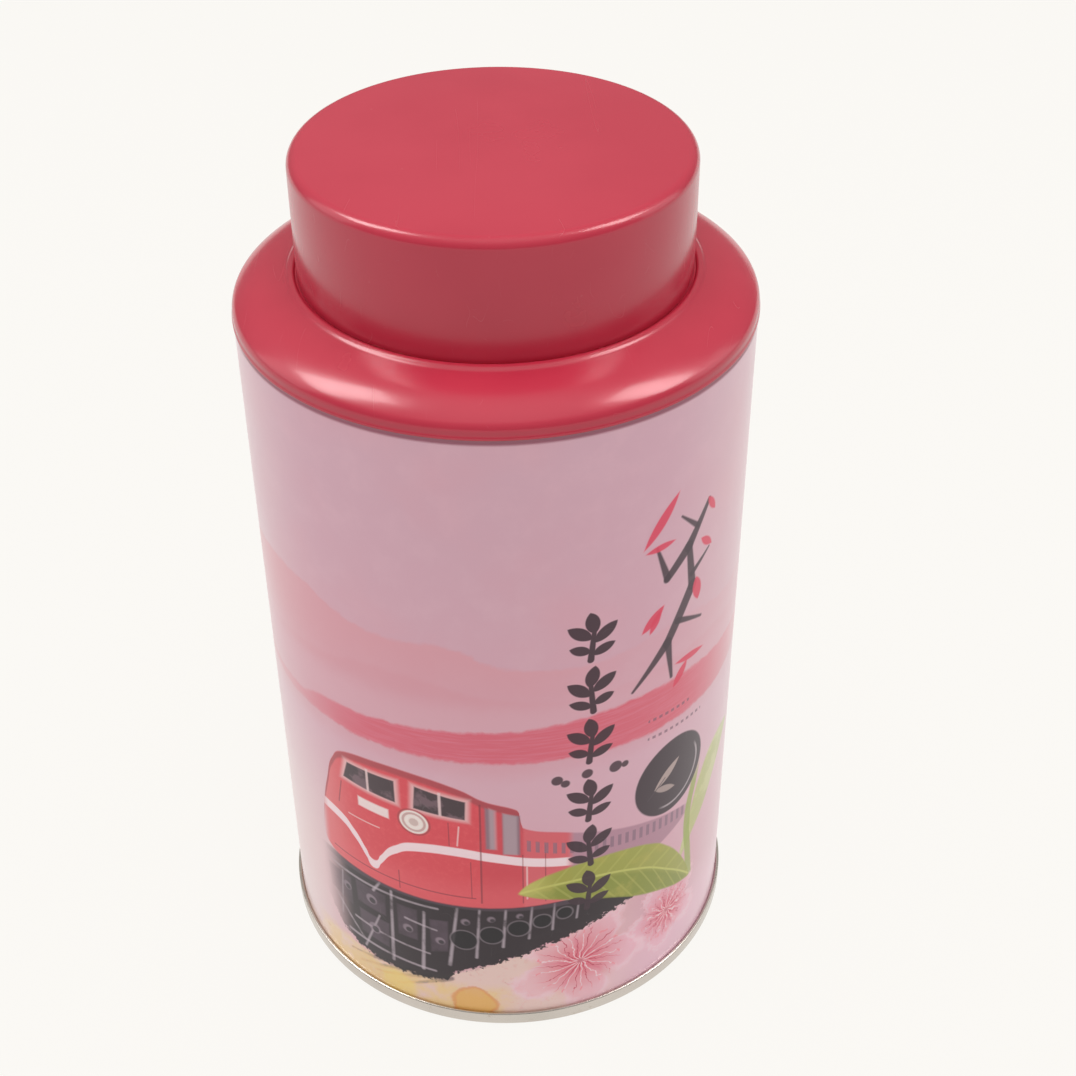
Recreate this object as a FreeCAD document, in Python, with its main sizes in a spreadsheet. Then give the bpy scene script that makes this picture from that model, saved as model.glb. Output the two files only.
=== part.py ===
import FreeCAD, Part
import math
import os
import Sketcher

# Shouldered tea tin with a slip cap over a plug lid.
# Millimetres. Origin: centre of the foot's standing plane. +Z: up the axis.
# Every piece is spun about Z from an outline whose corners are bound to the
# sheet "sizes"; the cap and the plug lid are drawn from their own lower or
# seating plane and carried up by their Placement.

SIZES = [
    ("wall_radius", 41.5, "outside of the rolled wall"),
    ("wall_sheet", 0.25, "thickness of the printed wall sheet"),
    ("base_sheet", 0.22, "thickness of the base sheet"),
    ("fold_gap", 0.02, "play between the folds of the base seam"),
    ("seam_height", 2.7, "height of the base seam"),
    ("seam_bend", 0.2, "round on the outside corners of the base seam"),
    ("hook_shy", 0.68, "how far the wall's hook stops below the seam's top"),
    ("cover_room", 0.39, "room between the base's hook and the wall's fold"),
    ("panel_drop", 0.8, "how far the middle of the base is pressed down"),
    ("panel_border", 4.8, "width of the flat border round the base"),
    ("panel_slope", 1.2, "width of the slope round the pressed middle"),
    ("side_lock_width", 5.0, "width of the lock seam down the wall"),
    ("side_lock_thick", 0.5, "how far the lock seam stands into the tin"),
    ("side_lock_clear", 0.72, "gap between the base seam and the lock seam"),
    ("wall_height", 130.1, "top of the wall, at its inward rim"),
    ("step_drop", 2.6, "how far below its top the wall is drawn in"),
    ("step_width", 0.5, "height of the drawn-in slope"),
    ("lap_gap", 0.1, "room for cement between wall and shoulder skirt"),
    ("cement_play", 0.01, "play each side of the cement"),
    ("rim_width", 2.2, "width of the wall's inward rim"),
    ("skirt_proud", 0.15, "how far the skirt stands out past the wall"),
    ("skirt_drop", 1.8, "how far the skirt reaches below the wall's top"),
    ("skirt_over", 0.2, "straight skirt above the wall's top"),
    ("shoulder_sheet", 0.25, "thickness of the shoulder sheet"),
    ("shoulder_round", 0.9, "round between skirt and slope"),
    ("shoulder_crown", 30.0, "radius of the crowned slope"),
    ("shoulder_rise", 4.5, "height of the cap's seat above the wall's top"),
    ("seat_edge", 1.15, "flat of the seat outside the cap"),
    ("seat_round", 0.6, "round at the seat's outer edge"),
    ("seat_fall", 0.24, "drop of the seat's round before the slope"),
    ("hole_play", 0.25, "play between shoulder hole and neck"),
    ("neck_sheet", 0.25, "thickness of the neck sheet"),
    ("neck_shy", 6.23, "how far the neck stops below the cap's top"),
    ("flange_shy", 0.1, "how far the neck's flange stops inside the seat"),
    ("neck_curl", 0.55, "outside radius of the neck's curl"),
    ("cap_radius", 31.12, "outside of the cap"),
    ("cap_rise", 19.63, "height of the cap"),
    ("cap_sheet", 0.25, "thickness of the cap sheet"),
    ("cap_round", 2.9, "round at the cap's top edge"),
    ("cap_hem", 1.6, "height of the hem turned up inside the cap"),
    ("hem_gap", 0.05, "play inside the cap's hem"),
    ("cap_fit", 0.25, "radial room between the cap's hem and the neck"),
    ("lid_sheet", 0.25, "thickness of the plug lid sheet"),
    ("lid_fit", 0.05, "radial fit of the plug lid in the neck's curl"),
    ("lid_seat_play", 0.02, "play under the plug lid's rim"),
    ("lid_depth", 6.0, "depth of the plug lid below its rim"),
    ("lid_rim_shy", 0.2, "how far the plug lid's rim stops inside the neck"),
    ("lid_bend", 0.6, "inside bend radius of the plug lid"),
    ("knob_foot", 3.2, "radius of the knob's foot"),
    ("knob_waist", 2.7, "radius of the knob's waist"),
    ("knob_head", 5.2, "radius of the knob's head"),
    ("knob_rise", 6.9, "height of the knob"),
    ("knob_waist_rise", 3.4, "height of the knob's waist"),
    ("rivet_shank", 1.2, "radius of the rivet's shank"),
    ("rivet_cover", 2.7, "knob left over the end of the rivet"),
    ("rivet_head", 2.6, "radius of the rivet's head"),
    ("rivet_head_thick", 0.6, "thickness of the rivet's head"),
    ("rivet_fit", 0.03, "radial fit of the rivet"),
]


class Size:
    """A length together with the sheet formula that gives it."""

    def __init__(self, value, formula):
        self.value = value
        self.formula = formula

    def __add__(self, other):
        other = as_size(other)
        return Size(self.value + other.value, f"({self.formula} + {other.formula})")

    def __sub__(self, other):
        other = as_size(other)
        return Size(self.value - other.value, f"({self.formula} - {other.formula})")

    def __mul__(self, factor):
        return Size(self.value * factor, f"({self.formula} * {factor})")


def as_size(value):
    if isinstance(value, Size):
        return value
    return Size(float(value), str(float(value)))


doc = FreeCAD.newDocument("tea_tin")
sheet = doc.addObject("Spreadsheet::Sheet", "sizes")
size = {}
for row, (alias, value, meaning) in enumerate(SIZES, start=1):
    sheet.set(f"A{row}", meaning)
    sheet.set(f"B{row}", str(value))
    sheet.setAlias(f"B{row}", alias)
    size[alias] = Size(value, f"sizes.{alias}")
doc.recompute()

ZERO = as_size(0)


def origin_plane(body, role):
    for item in body.Origin.OriginFeatures:
        if item.Role == role:
            return item
    raise ValueError(f"no {role} in {body.Label}")


def new_body(label, lift=None):
    """A body named label, with its own base plane lifted to the size lift."""
    body = doc.addObject("PartDesign::Body", label)
    body.Label = label
    body.Placement = FreeCAD.Placement()
    if lift is not None:
        body.setExpression(".Placement.Base.z", lift.formula)
    return body


def pin_point(sketch, edge, end, across, up):
    """Hold one corner of a sketch at the sizes across and up."""
    if abs(across.value) < 1e-9:
        sketch.addConstraint(Sketcher.Constraint("PointOnObject", edge, end, -2))
    else:
        index = sketch.addConstraint(
            Sketcher.Constraint("DistanceX", -1, 1, edge, end, across.value))
        sketch.setExpression(f"Constraints[{index}]", across.formula)
    if abs(up.value) < 1e-9:
        sketch.addConstraint(Sketcher.Constraint("PointOnObject", edge, end, -1))
    else:
        index = sketch.addConstraint(
            Sketcher.Constraint("DistanceY", -1, 1, edge, end, up.value))
        sketch.setExpression(f"Constraints[{index}]", up.formula)


def arc_through(start, end, radius, bulge):
    """An arc from start to end that bulges left (1) or right (-1) of the way."""
    chord = end - start
    half = chord.Length / 2
    sagitta = radius - math.sqrt(max(radius * radius - half * half, 0.0))
    left = FreeCAD.Vector(-chord.y, chord.x, 0).normalize()
    middle = (start + end) * 0.5 + left * (sagitta * bulge)
    return Part.Arc(start, middle, end)


def draw_outline(sketch, corners):
    """Close the corners into a loop.

    A corner is (across, up) or (across, up, radius, bulge); the last two make
    the edge that arrives at the corner an arc.
    """
    corners = [tuple(as_size(part) for part in item[:3]) + item[3:] for item in corners]
    count = len(corners)
    places = [FreeCAD.Vector(item[0].value, item[1].value, 0) for item in corners]
    ends = []
    for number in range(count):
        target = (number + 1) % count
        start = places[number]
        end = places[target]
        if len(corners[target]) == 2:
            edge = sketch.addGeometry(Part.LineSegment(start, end), False)
        else:
            radius, bulge = corners[target][2:]
            edge = sketch.addGeometry(arc_through(start, end, radius.value, bulge), False)
        flipped = (sketch.getPoint(edge, 1) - start).Length > (sketch.getPoint(edge, 2) - start).Length
        ends.append((edge, 2, 1) if flipped else (edge, 1, 2))
    for number in range(count):
        edge, first, last = ends[number]
        after, after_first, _ = ends[(number + 1) % count]
        sketch.addConstraint(Sketcher.Constraint("Coincident", edge, last, after, after_first))
        pin_point(sketch, edge, first, corners[number][0], corners[number][1])
    for number in range(count):
        target = (number + 1) % count
        if len(corners[target]) > 2:
            index = sketch.addConstraint(
                Sketcher.Constraint("Radius", ends[number][0], corners[target][2].value))
            sketch.setExpression(f"Constraints[{index}]", corners[target][2].formula)


def add_sketch(body, name, role):
    sketch = body.newObject("Sketcher::SketchObject", name)
    sketch.AttachmentSupport = [(origin_plane(body, role), "")]
    sketch.MapMode = "FlatFace"
    doc.recompute()
    return sketch


def spin(body, name, corners):
    """Turn an outline in the XZ plane once round the body's upright axis."""
    sketch = add_sketch(body, f"{name}_outline", "XZ_Plane")
    draw_outline(sketch, corners)
    doc.recompute()
    turned = body.newObject("PartDesign::Revolution", name)
    turned.Profile = sketch
    turned.ReferenceAxis = (sketch, ["V_Axis"])
    turned.Angle = 360
    doc.recompute()
    return turned


# Named sizes that several pieces share.

wall_radius = size["wall_radius"]
wall_sheet = size["wall_sheet"]
base_sheet = size["base_sheet"]
fold_gap = size["fold_gap"]
seam_bend = size["seam_bend"]
seam_height = size["seam_height"]
wall_inside = wall_radius - wall_sheet
cover_in = wall_radius + fold_gap
cover_out = cover_in + base_sheet
hook_in = cover_out + fold_gap
hook_out = hook_in + wall_sheet
seam_in = hook_out + fold_gap
seam_out = seam_in + base_sheet
chuck_out = wall_inside - fold_gap
chuck_in = chuck_out - base_sheet
wall_foot = base_sheet + fold_gap
hook_top = seam_height - size["hook_shy"]
cover_end = wall_foot + wall_sheet + size["cover_room"]
wall_top = size["wall_height"]
step_height = wall_top - size["step_drop"]
step_end = step_height + size["step_width"]

shoulder_sheet = size["shoulder_sheet"]
skirt_out = wall_radius + size["skirt_proud"]
skirt_in = skirt_out - shoulder_sheet
lap_out = skirt_in - size["lap_gap"]
lap_in = lap_out - wall_sheet
skirt_bottom = wall_top - size["skirt_drop"]
skirt_top = wall_top + size["skirt_over"]
seat_height = wall_top + size["shoulder_rise"]

cap_radius = size["cap_radius"]
cap_sheet = size["cap_sheet"]
hem_out = cap_radius - cap_sheet - size["hem_gap"]
hem_in = hem_out - cap_sheet
neck_sheet = size["neck_sheet"]
neck_out = hem_in - size["cap_fit"]
neck_in = neck_out - neck_sheet
neck_top = seat_height + size["cap_rise"] - size["neck_shy"]
curl = size["neck_curl"]
curl_hollow = curl - neck_sheet
curl_middle = neck_out - curl
mouth = curl_middle - curl
seat_out = cap_radius + size["seat_edge"] - size["seat_round"]
hole = neck_out + size["hole_play"]

# The printed wall: hooked outward at the foot, drawn in under the skirt and
# turned inward at the top.

body_wall = new_body("body_wall")
spin(body_wall, "rolled_wall", [
    (wall_inside, wall_foot),
    (hook_out, wall_foot),
    (hook_out, hook_top),
    (hook_in, hook_top),
    (hook_in, wall_foot + wall_sheet),
    (wall_radius, wall_foot + wall_sheet),
    (wall_radius, step_height),
    (lap_out, step_end),
    (lap_out, wall_top),
    (lap_out - size["rim_width"], wall_top),
    (lap_out - size["rim_width"], wall_top - wall_sheet),
    (lap_in, wall_top - wall_sheet),
    (lap_in, step_end),
    (wall_inside, step_height),
])

# Lock seam where the sheet's two edges are hooked together, at the back.
lock_sketch = add_sketch(body_wall, "side_lock_outline", "XY_Plane")
lock_root = wall_radius - wall_sheet * 0.6
lock_face = wall_inside - size["side_lock_thick"]
half_lock = size["side_lock_width"] * 0.5
lock_foot = seam_height + size["side_lock_clear"]
lock_sketch.AttachmentOffset = FreeCAD.Placement()
lock_sketch.setExpression(".AttachmentOffset.Base.z", lock_foot.formula)
for first, second in (
        ((-half_lock.value, lock_face.value), (half_lock.value, lock_face.value)),
        ((half_lock.value, lock_face.value), (half_lock.value, lock_root.value)),
        ((half_lock.value, lock_root.value), (-half_lock.value, lock_root.value)),
        ((-half_lock.value, lock_root.value), (-half_lock.value, lock_face.value))):
    lock_sketch.addGeometry(
        Part.LineSegment(FreeCAD.Vector(*first, 0), FreeCAD.Vector(*second, 0)), False)
for edge in range(4):
    lock_sketch.addConstraint(Sketcher.Constraint("Coincident", edge, 2, (edge + 1) % 4, 1))
for edge, kind in ((1, "Vertical"), (2, "Horizontal"), (3, "Vertical")):
    lock_sketch.addConstraint(Sketcher.Constraint(kind, edge))
lock_sketch.addConstraint(Sketcher.Constraint("Symmetric", 0, 1, 0, 2, -2))
for kind, first, last, length in (
        ("DistanceX", (0, 1), (0, 2), size["side_lock_width"]),
        ("DistanceY", (-1, 1), (0, 1), lock_face),
        ("DistanceY", (-1, 1), (1, 2), lock_root)):
    place = lock_sketch.addConstraint(Sketcher.Constraint(kind, *first, *last, length.value))
    lock_sketch.setExpression(f"Constraints[{place}]", length.formula)
doc.recompute()
side_lock = body_wall.newObject("PartDesign::Pad", "side_lock")
side_lock.Profile = lock_sketch
side_lock.setExpression("Length", (step_height - lock_foot - size["side_lock_thick"]).formula)
doc.recompute()

# The base: a pressed panel with a wall that folds round the body's hook.

base_end = new_body("base_end")
panel_top = seam_height - fold_gap
panel_under = panel_top - base_sheet
slope_out = chuck_in - size["panel_border"]
slope_in = slope_out - size["panel_slope"]
spin(base_end, "pressed_base", [
    (ZERO, panel_under - size["panel_drop"]),
    (slope_in, panel_under - size["panel_drop"]),
    (slope_out, panel_under),
    (chuck_in, panel_under),
    (chuck_in, seam_bend),
    (chuck_in + seam_bend, ZERO, seam_bend, -1),
    (seam_out - seam_bend, ZERO),
    (seam_out, seam_bend, seam_bend, -1),
    (seam_out, seam_height - seam_bend),
    (seam_out - seam_bend, seam_height, seam_bend, -1),
    (cover_in + seam_bend, seam_height),
    (cover_in, seam_height - seam_bend, seam_bend, -1),
    (cover_in, cover_end),
    (cover_out, cover_end),
    (cover_out, seam_height - base_sheet),
    (seam_in, seam_height - base_sheet),
    (seam_in, base_sheet),
    (chuck_out, base_sheet),
    (chuck_out, panel_top),
    (slope_out, panel_top),
    (slope_in, panel_top - size["panel_drop"]),
    (ZERO, panel_top - size["panel_drop"]),
])

# Sealing compound in the pocket above the wall's hook.

base_seam_compound = new_body("base_seam_compound")
spin(base_seam_compound, "compound_ring", [
    (hook_in + size["cement_play"], hook_top + fold_gap),
    (hook_out - size["cement_play"], hook_top + fold_gap),
    (hook_out - size["cement_play"], seam_height - base_sheet - fold_gap),
    (hook_in + size["cement_play"], seam_height - base_sheet - fold_gap),
])

# The shoulder: skirt, round, crowned slope and the cap's seat.

shoulder_ring = new_body("shoulder_ring")
shoulder_round = size["shoulder_round"]
crown = size["shoulder_crown"]
seat_round = size["seat_round"]
slope_top = seat_out + seat_round
slope_top_height = seat_height - size["seat_fall"]
round_across = shoulder_round * 0.55
round_up = shoulder_round * 0.85
spin(shoulder_ring, "pressed_shoulder", [
    (hole, seat_height - shoulder_sheet),
    (seat_out, seat_height - shoulder_sheet),
    (slope_top - shoulder_sheet * 0.4, slope_top_height - shoulder_sheet * 0.92),
    (skirt_in - round_across, skirt_top + round_up - shoulder_sheet * 0.8,
     crown - shoulder_sheet, 1),
    (skirt_in, skirt_top - shoulder_sheet * 0.3, shoulder_round, 1),
    (skirt_in, skirt_bottom),
    (skirt_out, skirt_bottom),
    (skirt_out, skirt_top),
    (skirt_out - round_across, skirt_top + round_up, shoulder_round, -1),
    (slope_top, slope_top_height, crown, -1),
    (seat_out, seat_height, seat_round * 1.6, -1),
    (hole, seat_height),
])

# Cement between the drawn-in wall and the skirt.

shoulder_seam_compound = new_body("shoulder_seam_compound")
cement_top = wall_top - wall_sheet
spin(shoulder_seam_compound, "cement_ring", [
    (lap_out + size["cement_play"], skirt_bottom + fold_gap),
    (skirt_in - size["cement_play"], skirt_bottom + fold_gap),
    (skirt_in - size["cement_play"], cement_top),
    (lap_out + size["cement_play"], cement_top),
])

# The neck: flange under the seat, upright tube, edge curled inward.

neck_ring = new_body("neck_ring")
flange_top = seat_height - shoulder_sheet - fold_gap
flange_under = flange_top - neck_sheet
curl_height = neck_top - curl
flange_out = seat_out - size["flange_shy"]
spin(neck_ring, "rolled_neck", [
    (neck_in, flange_under),
    (flange_out, flange_under),
    (flange_out, flange_top),
    (neck_out, flange_top),
    (neck_out, curl_height),
    (curl_middle, neck_top, curl, -1),
    (mouth, curl_height, curl, -1),
    (curl_middle, curl_height - curl, curl, -1),
    (curl_middle, curl_height - curl_hollow),
    (curl_middle - curl_hollow, curl_height, curl_hollow, 1),
    (curl_middle, curl_height + curl_hollow, curl_hollow, 1),
    (neck_in, curl_height, curl_hollow, 1),
])

# The cap, drawn from its lower edge, with a hem turned up inside.

cap_shell = new_body("cap_shell", seat_height)
cap_round = size["cap_round"]
cap_rise = size["cap_rise"]
cap_in = cap_radius - cap_sheet
spin(cap_shell, "drawn_cap", [
    (hem_in, ZERO),
    (cap_radius, ZERO),
    (cap_radius, cap_rise - cap_round),
    (cap_radius - cap_round, cap_rise, cap_round, -1),
    (ZERO, cap_rise),
    (ZERO, cap_rise - cap_sheet),
    (cap_radius - cap_round, cap_rise - cap_sheet),
    (cap_in, cap_rise - cap_round, cap_round - cap_sheet, 1),
    (cap_in, cap_sheet),
    (hem_out, cap_sheet),
    (hem_out, size["cap_hem"]),
    (hem_in, size["cap_hem"]),
])

# The plug lid, drawn from the underside of its rim.

lid_place = neck_top + size["lid_seat_play"]
lid_sheet = size["lid_sheet"]
plug_out = mouth - size["lid_fit"]
plug_in = plug_out - lid_sheet
lid_bend = size["lid_bend"]
lid_floor = lid_sheet - size["lid_depth"]
floor_hole = size["rivet_shank"] + size["rivet_fit"]
rim_out = neck_out - size["lid_rim_shy"]
inner_lid_pan = new_body("inner_lid_pan", lid_place)
spin(inner_lid_pan, "pressed_pan", [
    (floor_hole, lid_floor - lid_sheet),
    (plug_in - lid_bend, lid_floor - lid_sheet),
    (plug_out, lid_floor + lid_bend, lid_bend + lid_sheet, -1),
    (plug_out, ZERO),
    (rim_out, ZERO),
    (rim_out, lid_sheet),
    (plug_in, lid_sheet),
    (plug_in, lid_floor + lid_bend),
    (plug_in - lid_bend, lid_floor, lid_bend, 1),
    (floor_hole, lid_floor),
])

# The knob, drawn from the lid's floor, with a blind hole for the rivet.

inner_lid_knob = new_body("inner_lid_knob", lid_place + lid_floor)
knob_rise = size["knob_rise"]
rivet_end = knob_rise - size["rivet_cover"]
head_edge = (knob_rise - size["knob_waist_rise"]) * 0.5
head_middle = size["knob_waist_rise"] + head_edge
spin(inner_lid_knob, "turned_knob", [
    (floor_hole, ZERO),
    (size["knob_foot"], ZERO),
    (size["knob_foot"], size["knob_waist_rise"] * 0.25),
    (size["knob_waist"], size["knob_waist_rise"] * 0.6),
    (size["knob_waist"], size["knob_waist_rise"]),
    (size["knob_head"], head_middle - head_edge * 0.3),
    (size["knob_head"], head_middle + head_edge * 0.2),
    (size["knob_head"] * 0.55, knob_rise, size["knob_head"] * 0.8, -1),
    (ZERO, knob_rise),
    (ZERO, rivet_end + fold_gap),
    (floor_hole, rivet_end + fold_gap),
])

# The rivet that holds the knob through the lid's floor.

knob_rivet = new_body("knob_rivet", lid_place + lid_floor)
rivet_under = ZERO - lid_sheet - fold_gap
spin(knob_rivet, "headed_rivet", [
    (ZERO, rivet_under - size["rivet_head_thick"]),
    (size["rivet_head"] * 0.7, rivet_under - size["rivet_head_thick"]),
    (size["rivet_head"], rivet_under - size["rivet_head_thick"] * 0.4),
    (size["rivet_head"], rivet_under),
    (size["rivet_shank"], rivet_under),
    (size["rivet_shank"], rivet_end),
    (ZERO, rivet_end),
])

doc.recompute()

PIECES = [
    body_wall, base_end, base_seam_compound, shoulder_ring, shoulder_seam_compound,
    neck_ring, cap_shell, inner_lid_pan, inner_lid_knob, knob_rivet,
]

for item in doc.Objects:
    if "Invalid" in item.State or "Error" in item.State:
        raise RuntimeError(f"{item.Label} did not compute: {item.State}")

os.makedirs("parts", exist_ok=True)
for piece in PIECES:
    if piece.Shape.isNull() or not piece.Shape.isValid():
        raise RuntimeError(f"{piece.Label} has no valid shape")
    if len(piece.Shape.Solids) != 1:
        raise RuntimeError(f"{piece.Label} is not one solid")
    piece.Shape.exportStep(f"parts/{piece.Label}.step")
    box = piece.Shape.BoundBox
    print(f"{piece.Label}: r {box.XMax:.3f}, z {box.ZMin:.3f} to {box.ZMax:.3f}, "
          f"{piece.Shape.Volume:.1f} mm3")
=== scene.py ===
import math
from functools import reduce

import bmesh
import bpy
from bpy.props import FloatProperty, FloatVectorProperty, IntProperty, PointerProperty
from mathutils import Matrix, Vector


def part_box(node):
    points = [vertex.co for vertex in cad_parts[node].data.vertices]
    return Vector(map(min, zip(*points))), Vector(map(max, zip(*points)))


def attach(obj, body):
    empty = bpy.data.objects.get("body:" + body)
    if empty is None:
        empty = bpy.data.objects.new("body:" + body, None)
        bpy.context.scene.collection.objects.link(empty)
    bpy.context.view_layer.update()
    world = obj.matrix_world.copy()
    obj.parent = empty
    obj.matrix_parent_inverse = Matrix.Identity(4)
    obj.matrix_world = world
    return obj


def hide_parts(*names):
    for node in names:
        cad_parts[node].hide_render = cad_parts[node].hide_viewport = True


bl_info = {
    "name": "Shouldered Tea Tin",
    "version": (1, 0, 0),
    "blender": (4, 5, 0),
    "location": "3D View > Sidebar > Tea Tin",
    "description": "Builds a painted tea tin with a slip cap and a plug lid",
    "category": "Object",
}

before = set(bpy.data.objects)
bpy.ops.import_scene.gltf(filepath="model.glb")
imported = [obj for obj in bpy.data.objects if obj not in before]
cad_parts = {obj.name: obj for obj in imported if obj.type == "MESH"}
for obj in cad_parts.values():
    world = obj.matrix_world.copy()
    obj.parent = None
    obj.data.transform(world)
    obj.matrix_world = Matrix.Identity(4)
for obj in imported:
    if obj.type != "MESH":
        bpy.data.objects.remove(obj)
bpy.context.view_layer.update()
MM = 0.001
UP, DOWN, ROUND = "up", "down", "round"


def reach(node):
    """Largest radius, lowest and highest level of a node, in metres."""
    low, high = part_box(node)
    return high[0], low[2], high[2]


SEAM_RADIUS, FOOT_LEVEL, SEAM_TOP = reach("base_end")
SKIRT_RADIUS, SKIRT_LEVEL, _ = reach("shoulder_ring")
CAP_RADIUS, SEAT_LEVEL, CAP_TOP = reach("cap_shell")
HOOK_RADIUS, WALL_FOOT, WALL_TOP = reach("body_wall")
FLANGE_RADIUS, NECK_FOOT, NECK_TOP = reach("neck_ring")
PAN_RADIUS, PAN_FOOT, PAN_TOP = reach("inner_lid_pan")
KNOB_RADIUS, KNOB_FOOT, KNOB_TOP = reach("inner_lid_knob")
RIVET_RADIUS, RIVET_FOOT, _ = reach("knob_rivet")

# How folded and pressed sheet sits together in such tins.
SKIRT_PROUD = 0.15 * MM
FOLD_PLAY = 0.02 * MM
HOOK_ROOM = 0.39 * MM
HOOK_SHY = 0.68 * MM
LAP_ROOM = 0.1 * MM
STEP_DROP = 2.6 * MM
STEP_HEIGHT = 0.5 * MM
RIM_WIDTH = 2.2 * MM
DISH_DROP = 0.8 * MM
DISH_RIM = 4.8 * MM
DISH_EDGE = 6.0 * MM
BEAD_OFF_CAP = 0.8 * MM
BEAD_HEIGHT = 0.48 * MM
SLOPE_PARTS = 10
SKIRT_LIP = 0.05 * MM
NECK_PLAY = 0.3 * MM
CURL_RADIUS = 0.55 * MM
LID_RIM = 0.97 * MM
HEM_PLAY = 0.05 * MM
HEM_HEIGHT = 1.6 * MM
HOLE_SHARE = 0.473
KNOB_STEPS = 96
RIVET_STEPS = 72
RIVET_HEAD = 0.6 * MM
RIVET_SHANK_SHARE = 0.46
# Shares of the knob's radius and height, and the round in millimetres.
KNOB_OUTLINE = ((0.0, 0.0, 0.0), (0.615, 0.0, 0.2), (0.615, 0.12, 0.3), (0.52, 0.3, 0.5),
                (0.52, 0.5, 0.4), (1.0, 0.66, 0.5), (1.0, 0.82, 0.7), (0.72, 1.0, 0.8),
                (0.0, 1.0, 0.0))
WALL_RADIUS = SKIRT_RADIUS - SKIRT_PROUD


def linear(*display):
    """A display colour in 0 to 255 steps as an opaque scene-linear colour."""
    steps = [part / 255.0 for part in display]
    return (*(part / 12.92 if part <= 0.04045 else ((part + 0.055) / 1.055) ** 2.4
              for part in steps), 1.0)


# ---------------------------------------------------------------- settings


class TinSheetSettings(bpy.types.PropertyGroup):
    """Sizes of the rolled and pressed sheet."""

    steps: IntProperty(
        name="Steps round", description="Facets round every turned piece",
        default=240, min=48, max=512)
    sheet: FloatProperty(
        name="Sheet", description="Thickness of the tinplate",
        default=0.25 * MM, unit="LENGTH", subtype="DISTANCE")
    base_sheet: FloatProperty(
        name="Base sheet", description="Thickness of the base sheet",
        default=0.22 * MM, unit="LENGTH", subtype="DISTANCE")
    cap_round: FloatProperty(
        name="Cap round", description="Round of the cap's top edge",
        default=1.7 * MM, unit="LENGTH", subtype="DISTANCE")
    slope_start: FloatProperty(
        name="Slope start", description="Steepness of the shoulder beside the cap",
        default=math.radians(15), unit="ROTATION", subtype="ANGLE")
    slope_end: FloatProperty(
        name="Slope end", description="Steepness of the shoulder above its skirt",
        default=math.radians(44), unit="ROTATION", subtype="ANGLE")
    shoulder_roll: FloatProperty(
        name="Shoulder roll", description="Round between the shoulder's slope and its skirt",
        default=0.8 * MM, unit="LENGTH", subtype="DISTANCE")


class TinColourSettings(bpy.types.PropertyGroup):
    """Colours of the lacquer, the print and the bare sheet."""

    lacquer: FloatVectorProperty(
        name="Lacquer", description="Red lacquer of the cap and shoulder",
        default=linear(197, 45, 70)[:3], size=3, subtype="COLOR", min=0.0, max=1.0)
    tinplate: FloatVectorProperty(
        name="Tinplate", description="Bare tinplate",
        default=linear(214, 206, 198)[:3], size=3, subtype="COLOR", min=0.0, max=1.0)
    inside: FloatVectorProperty(
        name="Inside", description="Clear gold lacquer inside the tin",
        default=linear(205, 178, 128)[:3], size=3, subtype="COLOR", min=0.0, max=1.0)
    floor: FloatVectorProperty(
        name="Floor", description="Pale floor",
        default=linear(251, 249, 245)[:3], size=3, subtype="COLOR", min=0.0, max=1.0)
    print_gain: FloatProperty(
        name="Print strength", description="Lightness of the printed picture",
        default=1.56, min=0.2, max=3.0)


# ------------------------------------------------------------ turned pieces


def wire(bm, corners):
    """A line of corners (radius, level, round), each rounded by its own size."""
    points = [bm.verts.new((corner[0], 0.0, corner[1])) for corner in corners]
    for first, second in zip(points, points[1:]):
        bm.edges.new((first, second))
    for point, corner in zip(points, corners):
        if len(corner) > 2 and corner[2] > 0.0:
            bmesh.ops.bevel(
                bm, geom=[point], offset=corner[2], offset_type="OFFSET",
                segments=corner[3] if len(corner) > 3 else 6,
                profile=0.5, affect="VERTICES", material=-1)


def turn(bm, steps):
    """Spin everything in bm once round the upright axis."""
    bmesh.ops.spin(
        bm, geom=list(bm.verts) + list(bm.edges), cent=(0, 0, 0), axis=(0, 0, 1),
        dvec=(0, 0, 0), angle=math.tau, steps=steps, use_merge=True)
    bmesh.ops.remove_doubles(bm, verts=list(bm.verts), dist=1e-7)


def face_out(bm, way, counts):
    """Make the skin's normals agree; the faces that counts picks have to point the given way."""
    bmesh.ops.recalc_face_normals(bm, faces=list(bm.faces))
    score = 0.0
    for face in bm.faces:
        centre = face.calc_center_median()
        if counts(centre, face.normal):
            outward = {UP: Vector((0, 0, 1)), DOWN: Vector((0, 0, -1)),
                       ROUND: Vector((centre.x, centre.y, 0))}[way]
            score += face.normal.dot(outward) * face.calc_area()
    if score < 0.0:
        bmesh.ops.reverse_faces(bm, faces=list(bm.faces))


def sheet_piece(name, corners, way, counts, steps, thickness, body, node, materials):
    """A spun skin given its sheet thickness; materials are outside, inside."""
    bm = bmesh.new()
    wire(bm, corners)
    turn(bm, steps)
    face_out(bm, way, counts)
    skin = list(bm.faces)
    bmesh.ops.solidify(bm, geom=skin, thickness=thickness)
    outer = {face for face in skin if face.is_valid}
    for face in bm.faces:
        face.material_index = 0 if face in outer else 1
    return settle(bm, name, body, node, materials)


def solid_piece(name, corners, steps, body, node, materials):
    """A spun solid whose outline starts and ends on the axis or closes up."""
    bm = bmesh.new()
    wire(bm, corners)
    turn(bm, steps)
    bmesh.ops.recalc_face_normals(bm, faces=list(bm.faces))
    return settle(bm, name, body, node, materials)


SHARP_ANGLE = math.radians(50)


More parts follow.
